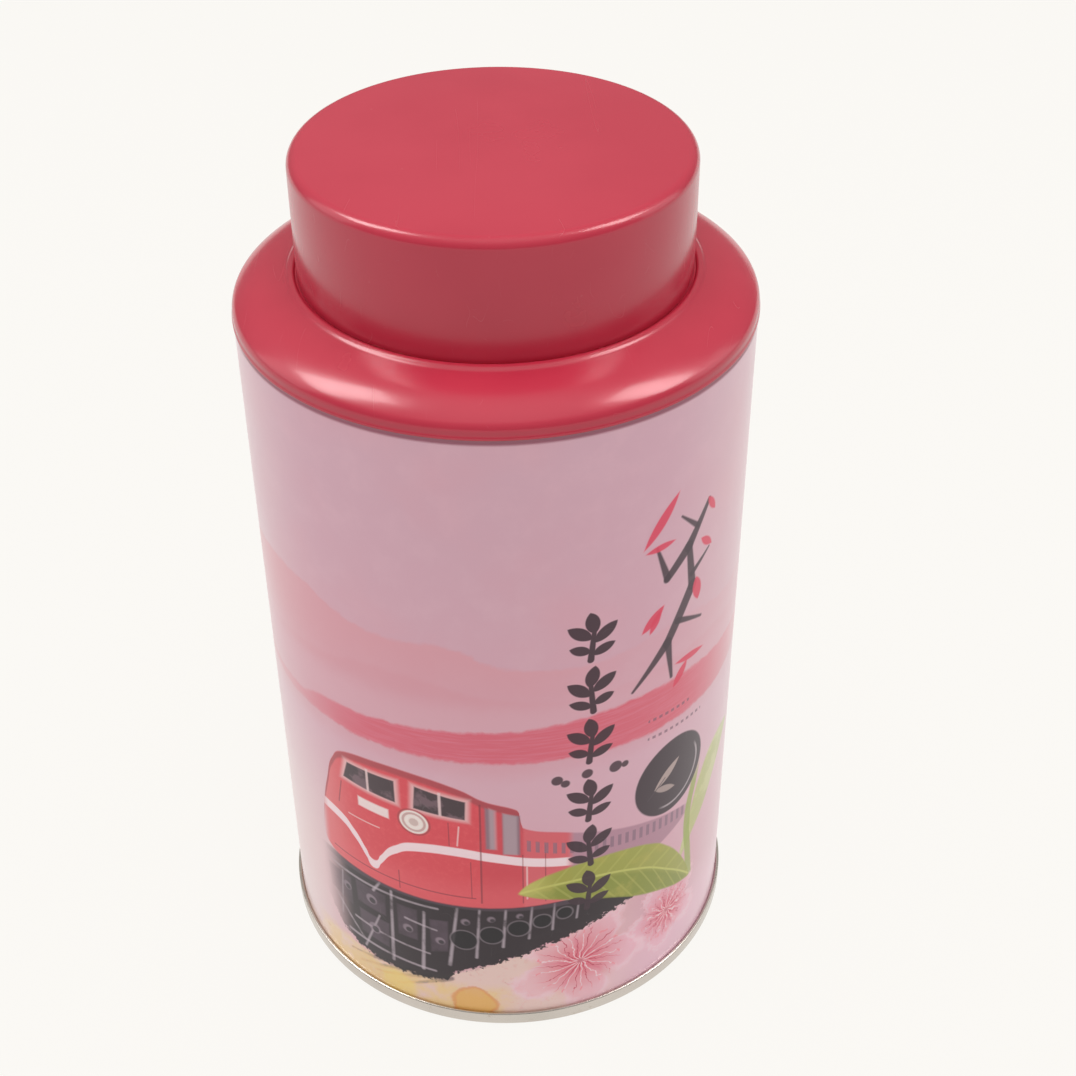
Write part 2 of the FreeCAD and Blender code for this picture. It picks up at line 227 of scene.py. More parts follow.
def settle(bm, name, body, node, materials):
    """Turn bm into a finished object that rides its body and stands for node."""
    for face in bm.faces:
        face.smooth = True
    mesh = bpy.data.meshes.new(name)
    bm.to_mesh(mesh)
    bm.free()
    mesh.set_sharp_from_angle(angle=SHARP_ANGLE)
    for material in materials:
        mesh.materials.append(material)
    piece = bpy.data.objects.new(name, mesh)
    bpy.context.scene.collection.objects.link(piece)
    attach(piece, body)
    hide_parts(node)
    return piece


# ------------------------------------------------------------ shader tools


MARK_DEPTH = 0.02 * MM
FLECK_DEPTH = 0.04 * MM
RING_DEPTH = 0.006 * MM


class Shades:
    """Adds shader nodes to a tree; numbers, colours and sockets all serve."""

    def __init__(self, tree):
        self.tree = tree

    def node(self, kind, **settings):
        made = self.tree.nodes.new(kind)
        for key, value in settings.items():
            setattr(made, key, value)
        return made

    def feed(self, socket, value):
        if isinstance(value, bpy.types.NodeSocket):
            self.tree.links.new(value, socket)
        elif value is not None:
            socket.default_value = value

    def math(self, operation, first, second=None, third=None, clamp=False):
        made = self.node("ShaderNodeMath", operation=operation, use_clamp=clamp)
        for socket, value in zip(made.inputs, (first, second, third)):
            self.feed(socket, value)
        return made.outputs[0]

    def add(self, first, second):
        return self.math("ADD", first, second)

    def sub(self, first, second):
        return self.math("SUBTRACT", first, second)

    def mul(self, first, second):
        return self.math("MULTIPLY", first, second)

    def absolute(self, value):
        return self.math("ABSOLUTE", value)

    def least(self, *values):
        return reduce(lambda first, second: self.math("MINIMUM", first, second), values)

    def most(self, *values):
        return reduce(lambda first, second: self.math("MAXIMUM", first, second), values)

    def vector(self, operation, first, second=None, scale=None):
        made = self.node("ShaderNodeVectorMath", operation=operation)
        self.feed(made.inputs[0], first)
        self.feed(made.inputs[1], second)
        self.feed(made.inputs[3], scale)
        return made.outputs[1 if operation in ("DOT_PRODUCT", "LENGTH", "DISTANCE") else 0]

    def join(self, x, y, z=0.0):
        made = self.node("ShaderNodeCombineXYZ")
        for socket, value in zip(made.inputs, (x, y, z)):
            self.feed(socket, value)
        return made.outputs[0]

    def split(self, vector):
        made = self.node("ShaderNodeSeparateXYZ")
        self.feed(made.inputs[0], vector)
        return made.outputs

    def noise(self, vector, scale, detail=2.0, roughness=0.5):
        made = self.node("ShaderNodeTexNoise", noise_dimensions="3D")
        for key, value in (("Vector", vector), ("Scale", scale),
                           ("Detail", detail), ("Roughness", roughness)):
            self.feed(made.inputs[key], value)
        return made.outputs[0]

    def ease(self, value, low, high, start=0.0, end=1.0):
        """Smooth step of value from low to high, giving start to end."""
        made = self.node("ShaderNodeMapRange", interpolation_type="SMOOTHSTEP", clamp=True)
        self.feed(made.inputs["Value"], value)
        for key, part in (("From Min", low), ("From Max", high),
                          ("To Min", start), ("To Max", end)):
            self.feed(made.inputs[key], part)
        return made.outputs[0]

    def blend(self, factor, first, second, kind="MIX"):
        """Mix two colours; the node keeps its colour sockets at 6, 7 and 2."""
        made = self.node("ShaderNodeMix", data_type="RGBA", blend_type=kind, clamp_factor=True)
        for place, value in ((0, factor), (6, first), (7, second)):
            self.feed(made.inputs[place], value)
        return made.outputs[2]

    def graph(self, value, points):
        """A curve drawn through points (value, result); straight levels beyond its ends."""
        start, span = points[0][0], points[-1][0] - points[0][0]
        levels = [point[1] for point in points]
        low, high = min(levels) - 0.5, max(levels) + 0.5
        along = self.math("MULTIPLY_ADD", value, 1.0 / span, -start / span, clamp=True)
        made = self.node("ShaderNodeFloatCurve")
        curve = made.mapping.curves[0]
        for number, (place, level) in enumerate(points):
            spot = ((place - start) / span, (level - low) / (high - low))
            if number == 0:
                curve.points[0].location = spot
            elif number == len(points) - 1:
                curve.points[-1].location = spot
            else:
                curve.points.new(*spot)
        made.mapping.update()
        self.feed(made.inputs["Value"], along)
        return self.math("MULTIPLY_ADD", made.outputs[0], high - low, low)


def new_group(name, entries, exits):
    """A node group; entries and exits are (name, kind of socket, default or None)."""
    tree = bpy.data.node_groups.new(name, "ShaderNodeTree")
    for direction, sockets in (("INPUT", entries), ("OUTPUT", exits)):
        for key, kind, default in sockets:
            made = tree.interface.new_socket(
                name=key, in_out=direction, socket_type="NodeSocket" + kind)
            if default is not None:
                made.default_value = default
    shades = Shades(tree)
    return tree, shades, shades.node("NodeGroupInput").outputs


def leave_group(shades, **values):
    """Feed a group's exits; an underscore stands for a space in a name."""
    exits = shades.node("NodeGroupOutput").inputs
    for key, value in values.items():
        shades.feed(exits[key.replace("_", " ")], value)


def handling_marks_group():
    """Hairlines, rubbed patches, dust and the lacquer's faint ripple."""
    _, shades, entry = new_group(
        "handling_marks",
        [("Place", "Vector", None)] + [(key, "Float", 0.5) for key in ("Hairlines", "Rub",
                                                                       "Ripple")],
        [(key, "Float", None) for key in ("Line mask", "Rub mask", "Specks", "Height")])
    place = entry["Place"]
    lines = None
    for turn_by, seed, fine in ((0.5, 3.0, 0.05), (-0.9, 11.0, 0.04), (1.9, 23.0, 0.03)):
        mapping = shades.node("ShaderNodeMapping")
        shades.feed(mapping.inputs["Vector"], place)
        set_inputs(mapping.inputs, Location=(seed, seed * 0.7, -seed), Scale=(1.0, 0.05, 0.5),
                   Rotation=(turn_by * 0.6, turn_by * 0.35, turn_by))
        field = shades.noise(mapping.outputs[0], 0.3, 0.0, 0.4)
        ridge = shades.absolute(shades.sub(field, 0.5))
        line = shades.ease(ridge, 0.0, fine * 0.08, 1.0, 0.0)
        broken = shades.noise(mapping.outputs[0], 0.35, 1.0)
        line = shades.mul(line, shades.ease(broken, 0.6, 0.7))
        lines = line if lines is None else shades.most(lines, line)
    lines = shades.mul(lines, entry["Hairlines"])
    rub = shades.noise(place, 0.055, 4.0, 0.62)
    rub = shades.mul(shades.ease(rub, 0.42, 0.7), entry["Rub"])
    specks = shades.node("ShaderNodeTexVoronoi", feature="F1")
    shades.feed(specks.inputs["Vector"], place)
    specks.inputs["Scale"].default_value = 0.32
    speck = shades.ease(specks.outputs["Distance"], 0.04, 0.075, 1.0, 0.0)
    rare = shades.ease(shades.noise(place, 0.11, 1.0), 0.55, 0.62)
    speck = shades.mul(speck, rare)
    ripple = shades.noise(place, 0.35, 2.0, 0.5)
    ripple = shades.mul(shades.sub(ripple, 0.5), entry["Ripple"])
    height = shades.sub(ripple, shades.mul(lines, 0.6))
    leave_group(shades, Line_mask=lines, Rub_mask=rub, Specks=speck, Height=height)


def rolled_grain_group():
    """Mill grain, cloudy tin and dull spots of bare tinplate."""
    _, shades, entry = new_group(
        "rolled_grain", [("Place", "Vector", None), ("Depth", "Float", 0.5)],
        [(key, "Float", None) for key in ("Cloud", "Dull", "Height")])
    stretch = shades.vector("MULTIPLY", entry["Place"], (1.0, 1.0, 9.0))
    grain = shades.noise(stretch, 1.1, 3.0, 0.6)
    cloud = shades.noise(entry["Place"], 0.09, 3.0, 0.55)
    dull = shades.ease(shades.noise(entry["Place"], 0.6, 4.0, 0.7), 0.58, 0.74)
    height = shades.mul(shades.sub(grain, 0.5), entry["Depth"])
    leave_group(shades, Cloud=cloud, Dull=dull, Height=height)


def bare_material(name):
    material = bpy.data.materials.new(name)
    material.use_nodes = True
    material.node_tree.nodes.clear()
    shades = Shades(material.node_tree)
    surface = shades.node("ShaderNodeBsdfPrincipled")
    output = shades.node("ShaderNodeOutputMaterial")
    shades.feed(output.inputs[0], surface.outputs[0])
    return material, shades, surface.inputs


def new_material(name):
    """A material, its tools, its surface sockets and the object's own places in millimetres."""
    material, shades, surface = bare_material(name)
    place = shades.node("ShaderNodeTexCoord").outputs["Object"]
    return material, shades, surface, shades.vector("SCALE", place, scale=1.0 / MM)


def group_in(shades, name, place, **values):
    made = shades.node("ShaderNodeGroup")
    made.node_tree = bpy.data.node_groups[name]
    shades.feed(made.inputs["Place"], place)
    set_inputs(made.inputs, **values)
    return made.outputs


def set_inputs(inputs, **values):
    """Set plain values; an underscore stands for a space in a socket's name."""
    for key, value in values.items():
        inputs[key.replace("_", " ")].default_value = value


def raise_bump(shades, surface, height, depth):
    bump = shades.node("ShaderNodeBump")
    set_inputs(bump.inputs, Strength=1.0, Distance=depth)
    shades.feed(bump.inputs["Height"], height)
    shades.feed(surface["Normal"], bump.outputs[0])


def paler(colour, factor, lift):
    return tuple(min(1.0, part * factor + lift) for part in colour) + (1.0,)


def lacquer_material(colours):
    """Satin red lacquer with hairlines, soft rubs and paler specks."""
    material, shades, surface, place = new_material("satin_red_lacquer")
    marks = group_in(shades, "handling_marks", place,
                     Hairlines=0.5, Rub=0.6, Ripple=0.2)
    base = (*colours.lacquer, 1.0)
    pale = paler(colours.lacquer, 1.06, 0.006)
    drift = shades.noise(place, 0.03, 3.0, 0.5)
    colour = shades.blend(shades.ease(drift, 0.35, 0.65), base, pale)
    worn = paler(colours.lacquer, 0.85, 0.16)
    colour = shades.blend(shades.mul(marks["Line mask"], 0.16), colour, worn)
    colour = shades.blend(shades.mul(marks["Specks"], 0.15), colour, worn)
    shades.feed(surface["Base Color"], colour)
    rough = shades.math("MULTIPLY_ADD", marks["Rub mask"], 0.07, 0.235)
    rough = shades.math("MULTIPLY_ADD", marks["Line mask"], 0.12, rough)
    shades.feed(surface["Roughness"], rough)
    set_inputs(surface, IOR=1.5, Coat_Weight=0.2, Coat_Roughness=0.1)
    raise_bump(shades, surface, marks["Height"], MARK_DEPTH)
    return material


def tinplate_material(name, colour, rough_low, rough_high):
    """Bare or clear-lacquered tinplate with its mill grain."""
    material, shades, surface, place = new_material(name)
    grain = group_in(shades, "rolled_grain", place, Depth=0.5)
    dark = paler(colour, 0.8, 0.0)
    tone = shades.blend(grain["Cloud"], (*colour, 1.0), dark)
    stain = tuple(part * factor for part, factor in zip(colour, (0.62, 0.52, 0.42))) + (1.0,)
    shades.feed(surface["Base Color"], shades.blend(shades.mul(grain["Dull"], 0.25), tone, stain))
    set_inputs(surface, Metallic=1.0)
    rough = shades.math("MULTIPLY_ADD", grain["Dull"], rough_high - rough_low, rough_low)
    shades.feed(surface["Roughness"], rough)
    raise_bump(shades, surface, grain["Height"], MARK_DEPTH)
    return material


def compound_material():
    """Cured sealing compound."""
    material, shades, surface, place = new_material("cured_compound")
    fleck = shades.noise(place, 1.5, 3.0)
    colour = shades.blend(fleck, linear(122, 116, 104), linear(150, 143, 128))
    shades.feed(surface["Base Color"], colour)
    set_inputs(surface, Roughness=0.7)
    raise_bump(shades, surface, fleck, FLECK_DEPTH)
    return material


def knob_material():
    """Turned aluminium with fine tool rings."""
    material, shades, surface, place = new_material("turned_aluminium")
    x, y, _ = shades.split(place)
    radius = shades.vector("LENGTH", shades.join(x, y))
    rings = shades.math("SINE", shades.mul(radius, 38.0))
    cloud = shades.noise(place, 0.7, 3.0)
    colour = shades.blend(cloud, linear(205, 204, 201), linear(172, 171, 170))
    shades.feed(surface["Base Color"], colour)
    set_inputs(surface, Metallic=1.0)
    shades.feed(surface["Roughness"], shades.math("MULTIPLY_ADD", cloud, 0.15, 0.22))
    raise_bump(shades, surface, rings, RING_DEPTH)
    return material


# ------------------------------------------------------ the printed picture


class Print(Shades):
    """Lays inks one over another. Places are millimetres: across the front, up."""

    def __init__(self, tree, entry):
        super().__init__(tree)
        self.across, self.up = entry["Across"], entry["Up"]
        self.rough, self.grit = entry["Rough"], entry["Grit"]
        self.streaks, self.clouds = entry["Streaks"], entry["Clouds"]
        self.spot = self.join(self.across, self.up, 1.0)
        self.colour = entry["Ground"]

    def along(self, *edges):
        return self.ease(self.across, *edges)

    def rising(self, *edges):
        return self.ease(self.up, *edges)

    def lay(self, mask, ink, strength=1.0):
        if strength != 1.0:
            mask = self.mul(mask, strength)
        self.colour = self.blend(mask, self.colour, linear(*ink))

    def soften(self, distance, blur=0.25):
        return self.ease(distance, -blur, blur)

    def side(self, first, second):
        """Distance to the left of the line from first to second."""
        dx, dy = second[0] - first[0], second[1] - first[1]
        length = math.hypot(dx, dy)
        a, b = -dy / length, dx / length
        return self.vector("DOT_PRODUCT", self.spot, (a, b, -(a * first[0] + b * first[1])))

    def patch(self, corners, blur=0.2):
        """A convex patch; its corners run anticlockwise."""
        sides = [self.side(*pair) for pair in zip(corners, corners[1:] + corners[:1])]
        return self.soften(self.least(*sides), blur)

    def bar(self, left, low, right, high, blur=0.15):
        return self.patch([(left, low), (right, low), (right, high), (left, high)], blur)

    def away(self, centre):
        """Distance from a point."""
        return self.vector("DISTANCE", self.spot, (centre[0], centre[1], 1.0))

    def dot(self, centre, radius, blur=0.2):
        return self.ease(self.away(centre), radius + blur, radius - blur)

    def ring(self, centre, radius, half, blur=0.15):
        off = self.absolute(self.sub(self.away(centre), radius))
        return self.ease(off, half + blur, half - blur)

    def petal(self, first, second, width, blur=0.2):
        """A pointed leaf shape between two tips."""
        dx, dy = second[0] - first[0], second[1] - first[1]
        length = math.hypot(dx, dy)
        radius = (length * length / 4 + width * width / 4) / width
        middle = ((first[0] + second[0]) / 2, (first[1] + second[1]) / 2)
        shift = radius - width / 2
        nx, ny = -dy / length, dx / length
        one = self.away((middle[0] + nx * shift, middle[1] + ny * shift))
        two = self.away((middle[0] - nx * shift, middle[1] - ny * shift))
        return self.ease(self.most(one, two), radius + blur, radius - blur)

    def stroke(self, first, second, start, end, blur=0.2):
        """A straight brush stroke that tapers from half width start to end."""
        dx, dy = second[0] - first[0], second[1] - first[1]
        square = dx * dx + dy * dy
        along = self.vector("DOT_PRODUCT", self.spot,
                            (dx / square, dy / square, -(dx * first[0] + dy * first[1]) / square))
        along = self.math("MULTIPLY_ADD", along, 1.0, 0.0, clamp=True)
        near = self.join(self.math("MULTIPLY_ADD", along, dx, first[0]),
                         self.math("MULTIPLY_ADD", along, dy, first[1]), 1.0)
        off = self.vector("DISTANCE", self.spot, near)
        half = self.math("MULTIPLY_ADD", along, end - start, start)
        return self.soften(self.sub(half, off), blur)

    def under(self, points, blur=0.3):
        return self.soften(self.sub(self.graph(self.across, points), self.up), blur)

    def over(self, points, blur=0.3):
        return self.soften(self.sub(self.up, self.graph(self.across, points)), blur)

    def between(self, top, bottom, blur=0.3):
        return self.mul(self.under(top, blur), self.over(bottom, blur))


SKY_INK = linear(202, 156, 170)


def sky_and_hills(art):
    """Dusky sky, a far ridge, mist, the red band of low cloud, and a painted sheen that pales the
    print toward both sides of the wall.
    """
    warm = art.ease(art.add(art.up, art.mul(art.rough, 30.0)), 70.0, 140.0)
    art.lay(warm, (192, 158, 172), 0.55)
    art.lay(art.ease(art.rough, 0.4, 0.8), (208, 168, 180), 0.35)
    art.lay(art.ease(art.clouds, 0.45, 0.75), (206, 148, 160), 0.45)
    # Painted sheen: the print is paled toward both sides of the wall, either side of the front,
    # fading out round the back.
    painted_side_sheen = art.mul(art.ease(art.absolute(art.add(art.across, 3.0)), 26.0, 48.0),
                        art.ease(art.absolute(art.across), 110.0, 60.0, 0.2, 1.0))
    art.lay(painted_side_sheen, (210, 186, 192), 0.32)
    low_mist = art.mul(art.along(-22.0, -46.0), art.rising(70.0, 40.0))
    art.lay(low_mist, (224, 212, 210), 0.7)
    ridge = [(-130, 83), (-108, 89), (-84, 84), (-62, 87), (-42, 93), (-30, 91), (-18, 89.2),
             (-11, 89.8), (-4, 87), (4, 85.2), (14, 84.6), (30, 86), (48, 83), (70, 88),
             (96, 84), (114, 88), (130, 83)]
    far = art.mul(art.under(ridge, 0.5), art.rising(70.0, 90.0, 0.35, 1.0))
    art.lay(art.mul(far, art.along(2.0, 26.0, 1.0, 0.35)), (206, 142, 152), 0.65)
    near = [(-130, 77), (-100, 79), (-70, 76), (-44, 78.5), (-30, 80.5), (-18, 82.5), (-8, 80.5),
            (2, 79), (16, 78), (36, 78.5), (60, 76), (96, 78), (130, 77)]
    art.lay(art.mul(art.under(near, 0.8), art.rising(72.0, 80.0)), (200, 132, 144), 0.26)
    art.lay(art.mul(art.rising(80.0, 75.0), art.rising(68.0, 73.0)), (206, 160, 172), 0.55)
    top = [(-130, 70), (-95, 71.5), (-60, 67), (-44, 67), (-36, 69.2), (-28, 70.3), (-14, 71.6),
           (0, 72.4), (12, 73.3), (24, 73.9), (36, 73.2), (48, 72), (75, 70), (105, 72), (130, 70)]
    low = [(-130, 64), (-95, 66), (-60, 65), (-30, 65.3), (0, 65.5), (20, 64.8), (38, 64.2),
           (60, 65), (100, 66), (130, 64)]
    band = art.between(top, low, 0.45)
    ends = art.mul(art.along(-46.0, -22.0, 0.25, 1.0), art.along(56.0, 30.0, 0.25, 1.0))
    band = art.mul(band, ends)
    art.lay(band, (203, 88, 106), 0.9)
    art.lay(art.mul(band, art.ease(art.streaks, 0.4, 0.7)), (208, 120, 138), 0.5)
    art.lay(art.mul(art.rising(65.2, 60.0), art.rising(20.0, 60.0)), (206, 172, 186), 0.45)


def ground_washes(art):
    """Ochre and orange washes with drying edges at the foot of the picture."""
    foot = art.mul(art.rising(22.0, 8.0), art.along(-6.0, 12.0))
    art.lay(foot, (226, 186, 204), 0.5)
    bank = [(-44, 4), (-34, 9.5), (-26, 9), (-16, 10), (-8, 13.5), (2, 18.5), (12, 22.5), (24, 27),
            (34, 24), (44, 10)]
    soil = art.under(bank, 0.7)
    art.lay(art.mul(soil, art.along(30.0, 4.0)), (222, 196, 184), 0.75)
    gravel = art.mul(art.ease(art.grit, 0.5, 0.62), art.ease(art.rough, 0.45, 0.6))
    art.lay(art.mul(soil, art.mul(gravel, art.along(20.0, -4.0))), (168, 138, 134), 0.5)
    for first, second in (((-30.5, 5.6), (-19.0, 9.8)), ((-27.0, 5.2), (-15.0, 9.9)),
                          ((-22.0, 4.8), (-11.0, 10.6)),
                          ((-33.0, 7.0), (-24.0, 9.6))):
        art.lay(art.stroke(first, second, 0.25, 0.5, 0.3), (96, 74, 84), 0.75)
    ochre = art.mul(art.rising(11.0, 7.0), art.mul(art.along(-46.0, -36.0), art.along(2.0, -4.0)))
    ochre = art.mul(ochre, art.ease(art.rough, 0.3, 0.55))
    art.lay(ochre, (222, 188, 128), 0.8)
    blot = art.add(art.away((-7.0, 4.5)), art.mul(art.rough, 3.0))
    art.lay(art.ease(blot, 6.0, 5.2), (214, 160, 84), 0.8)
    art.lay(art.mul(art.ease(blot, 6.2, 5.7), art.ease(blot, 4.9, 5.6)), (200, 120, 70), 0.5)
    art.lay(art.ease(art.add(art.away((-22.0, 4.5)), art.mul(art.rough, 4.0)), 6.5, 4.8),
            (226, 196, 110), 0.6)


def running_gear(art):
    """The dark frames, wheels and steps below the engine."""
    top = [(-40, 31), (-36, 31.6), (10, 31.2), (16, 29.6), (25, 27)]
    low = [(-40, 20), (-37, 15), (-33, 11), (-28, 9.4), (-13, 9.6), (-10, 12.6), (-4, 15.5),
           (4, 19), (12, 22.4), (25, 26.8)]
    ragged = art.graph(art.across, low)
    ragged = art.add(ragged, art.mul(art.sub(art.grit, 0.5), 4.5))
    dark = art.mul(art.under(top, 0.25), art.soften(art.sub(art.up, ragged), 0.35))
    dark = art.mul(dark, art.mul(art.along(-40.0, -31.0), art.along(25.0, 23.6)))
    art.lay(dark, (26, 19, 25), 0.98)
    plate, steel = (84, 68, 80), (188, 172, 182)
    for corners in ([(-37.5, 21.0), (-31.5, 20.0), (-31.5, 27.0), (-37.8, 27.0)],
                    [(-29.6, 14.6), (-23.4, 13.8), (-23.0, 20.4), (-29.8, 20.6)],
                    [(-21.0, 19.0), (-17.2, 19.0), (-17.0, 27.0), (-21.0, 27.0)],
                    [(-14.6, 17.0), (-11.4, 18.0), (-11.2, 26.0), (-14.6, 25.6)],
                    [(-30.0, 22.4), (-23.6, 22.2), (-23.4, 27.6), (-30.2, 27.8)]):
        panel = art.mul(art.patch(corners, 0.3), dark)
        art.lay(art.mul(panel, art.ease(art.rough, 0.3, 0.6, 0.35, 1.0)), plate, 0.8)
    for first, second, half in (((-37.5, 28.2), (-13.0, 28.8), 0.3),
                                ((-33.0, 12.6), (-14.0, 11.8), 0.32),
                                ((-36.4, 20.6), (-29.0, 12.4), 0.34),
                                ((-31.0, 17.4), (-15.0, 16.2), 0.26),
                                ((-22.6, 11.0), (-22.0, 29.6), 0.36),
                                ((-16.4, 11.6), (-15.6, 27.0), 0.36),
                                ((-29.0, 10.8), (-25.0, 21.4), 0.24),
                                ((-11.2, 14.4), (-9.4, 29.8), 0.34),
                                ((-34.8, 15.4), (-33.6, 27.6), 0.22),
                                ((-6.2, 17.4), (-5.4, 30.0), 0.26),
                                ((-1.4, 20.6), (-0.8, 30.2), 0.26),
                                ((3.2, 22.6), (3.8, 30.6), 0.22),
                                ((7.4, 24.2), (7.8, 30.8), 0.2), ((11.8, 26.0), (12.2, 30.4), 0.18),
                                ((-26.0, 27.6), (-24.4, 30.4), 0.3),
                                ((-19.4, 24.0), (-13.4, 23.0), 0.24)):
        rod = art.mul(art.stroke(first, second, half, half * 0.7, 0.24), dark)
        art.lay(art.mul(rod, art.ease(art.rough, 0.34, 0.5, 0.25, 1.0)), steel, 0.62)
    for centre, size in (((-32.6, 24.4), 1.0), ((-26.6, 24.8), 1.2), ((-19.0, 21.4), 1.0),
                         ((-26.4, 17.2), 1.3),
                         ((-12.8, 20.4), 0.9), ((-8.0, 26.6), 0.8), ((-3.4, 27.8), 0.7),
                         ((1.6, 28.6), 0.6)):
        art.lay(art.mul(art.dot(centre, size, 0.25), dark), (150, 132, 144), 0.6)
        art.lay(art.mul(art.dot((centre[0] + 0.2, centre[1] - 0.25), size * 0.6, 0.2), dark),
                (24, 18, 24), 0.85)
    for centre, size in (((-8.4, 21.8), 2.5), ((-3.4, 23.6), 2.2), ((1.4, 25.4), 2.0),
                         ((5.6, 26.8), 1.7), ((9.6, 28.0), 1.5)):
        art.lay(art.mul(art.dot(centre, size, 0.3), dark), (18, 13, 18), 0.9)
        art.lay(art.mul(art.ring(centre, size, 0.12, 0.2), dark), steel, 0.28)
    beam = art.mul(art.bar(-38.0, 30.0, 12.0, 31.2, 0.3), dark)
    art.lay(beam, (92, 74, 86), 0.5)


def engine_body(art):
    """A plain round-nosed red engine, seen from its front corner."""
    top = [(-38, 36), (-37, 43), (-35.2, 50), (-33.2, 56), (-30.5, 59), (-24, 60.6), (-16, 60.8),
           (-9, 59.4), (-4, 56.8), (1.6, 54.6), (2.4, 50.5), (10, 48), (20, 45), (30, 42.2),
           (38, 40)]
    low = [(-38, 36), (-36.4, 32.4), (-33, 31.4), (10, 31.4), (20, 33), (30, 36), (38, 39.5)]
    whole = art.between(top, low, 0.3)
    whole = art.mul(whole, art.mul(art.along(-38.2, -35.6), art.along(38.0, 34.0)))
    train = art.mul(whole, art.along(11.5, 9.5))
    trail = art.mul(whole, art.along(9.5, 11.5))
    art.lay(train, (204, 68, 78), 0.98)
    art.lay(trail, (160, 118, 136), 0.8)
    art.lay(art.mul(train, art.ease(art.grit, 0.45, 0.8)), (214, 92, 98), 0.5)
    flank = art.mul(train, art.along(-5.2, -4.6))
    art.lay(flank, (190, 66, 78), 0.6)
    nose = art.mul(train, art.along(-27.0, -37.0))
    art.lay(nose, (214, 120, 124), 0.6)
    art.lay(art.mul(train, art.rising(40.0, 33.0)), (214, 96, 104), 0.5)
    far_side = art.mul(train, art.along(2.0, 2.8))
    art.lay(far_side, (206, 104, 112), 0.6)
    rim = art.mul(train, art.soften(art.sub(1.5, art.sub(art.graph(art.across, top), art.up)), 0.4))
    art.lay(art.mul(rim, art.along(2.6, 1.6)), (150, 66, 74), 0.75)
    glass, frame_ink = (40, 32, 40), (222, 192, 194)
    for pane in (
            [(-31.4, 52.6), (-19.0, 52.2), (-19.0, 58.4), (-30.2, 57.8)],
            [(-17.0, 52.2), (-6.6, 51.6), (-6.4, 57.0), (-16.6, 58.6)]):
        art.lay(art.patch(pane, 0.7), frame_ink, 0.7)
        inner = art.patch([(x + (0.7 if x < (pane[0][0] + pane[1][0]) / 2 else -0.7),
                            y + (0.6 if y < 55 else -0.6)) for x, y in pane], 0.2)
        art.lay(inner, glass, 0.95)
        art.lay(art.mul(inner, art.ease(art.rough, 0.5, 0.6)), (132, 104, 114), 0.5)
    for bar in ((-25.4, 52.8, -24.9, 58.0), (-11.8, 52.4, -11.3, 57.8)):
        art.lay(art.bar(*bar), frame_ink, 0.8)
    for pane in ([(-3.9, 45.6), (-2.4, 45.5), (-2.4, 54.8), (-3.9, 55.4)],
                 [(-1.0, 44.4), (1.9, 44.1), (1.9, 53.4), (-1.0, 54.2)]):
        art.lay(art.patch(pane, 0.3), (126, 108, 120), 0.9)
        art.lay(art.patch([(x * 0.8 - 0.1, y) for x, y in pane], 0.3), (190, 170, 178), 0.45)
    art.lay(art.bar(-27.6, 48.2, -21.2, 50.4, 0.25), (226, 208, 208), 0.95)
    art.lay(art.dot((-16.4, 49.4), 2.7), (226, 214, 210), 0.97)
    art.lay(art.ring((-16.4, 49.4), 2.0, 0.25), (170, 120, 120), 0.7)
    art.lay(art.dot((-16.4, 49.4), 0.9), (186, 160, 156), 0.8)
    art.lay(art.ring((-16.4, 49.4), 2.9, 0.2), (150, 60, 66), 0.7)
    sweep = [(-38, 43.2), (-33, 42.6), (-29.5, 40.4), (-26.6, 36.6), (-25.2, 34.9), (-23.8, 36.6),
             (-20.4, 41.0), (-16, 43.4), (-10, 44.2), (-4, 43.6), (4, 42.0), (12, 40.6)]
    line = art.graph(art.across, sweep)
    off = art.absolute(art.sub(art.up, line))
    art.lay(art.mul(train, art.ease(off, 1.2, 0.85)), (230, 208, 214), 0.95)
    seam = (120, 50, 60)
    for first, second, half in (((-4.9, 32), (-4.7, 56), 0.16), ((-20.0, 36), (-20.0, 31.6), 0.1),
                                ((-6.6, 33), (-6.6, 42), 0.08), ((-35.0, 33.4), (-6.0, 33.0), 0.14),
                                ((-10.2, 45.5), (-10.2, 51), 0.08), ((2.3, 32), (2.3, 44), 0.1),
                                ((6.2, 32), (6.2, 46), 0.08), ((-32.5, 46.0), (-31.4, 51.5), 0.14)):
        art.lay(art.stroke(first, second, half, half, 0.12), seam, 0.7)
    for first, second in (((-30.2, 44.6), (-23.4, 44.9)), ((-8.8, 45.8), (-8.4, 50.4)),
                          ((3.0, 33.0), (3.0, 41.0))):
        art.lay(art.stroke(first, second, 0.13, 0.13, 0.12), (232, 200, 200), 0.7)
    coach = art.sub(art.up, art.graph(art.across, [(2, 46.5), (12, 43.8), (24, 41.6), (38, 39.4)]))
    pane_row = art.mul(art.ease(art.absolute(coach), 1.5, 1.1),
                       art.ease(art.math("SINE", art.mul(art.across, 4.2)), -0.1, 0.35))
    art.lay(art.mul(pane_row, art.mul(whole, art.along(2.6, 3.2))), (128, 100, 116), 0.75)


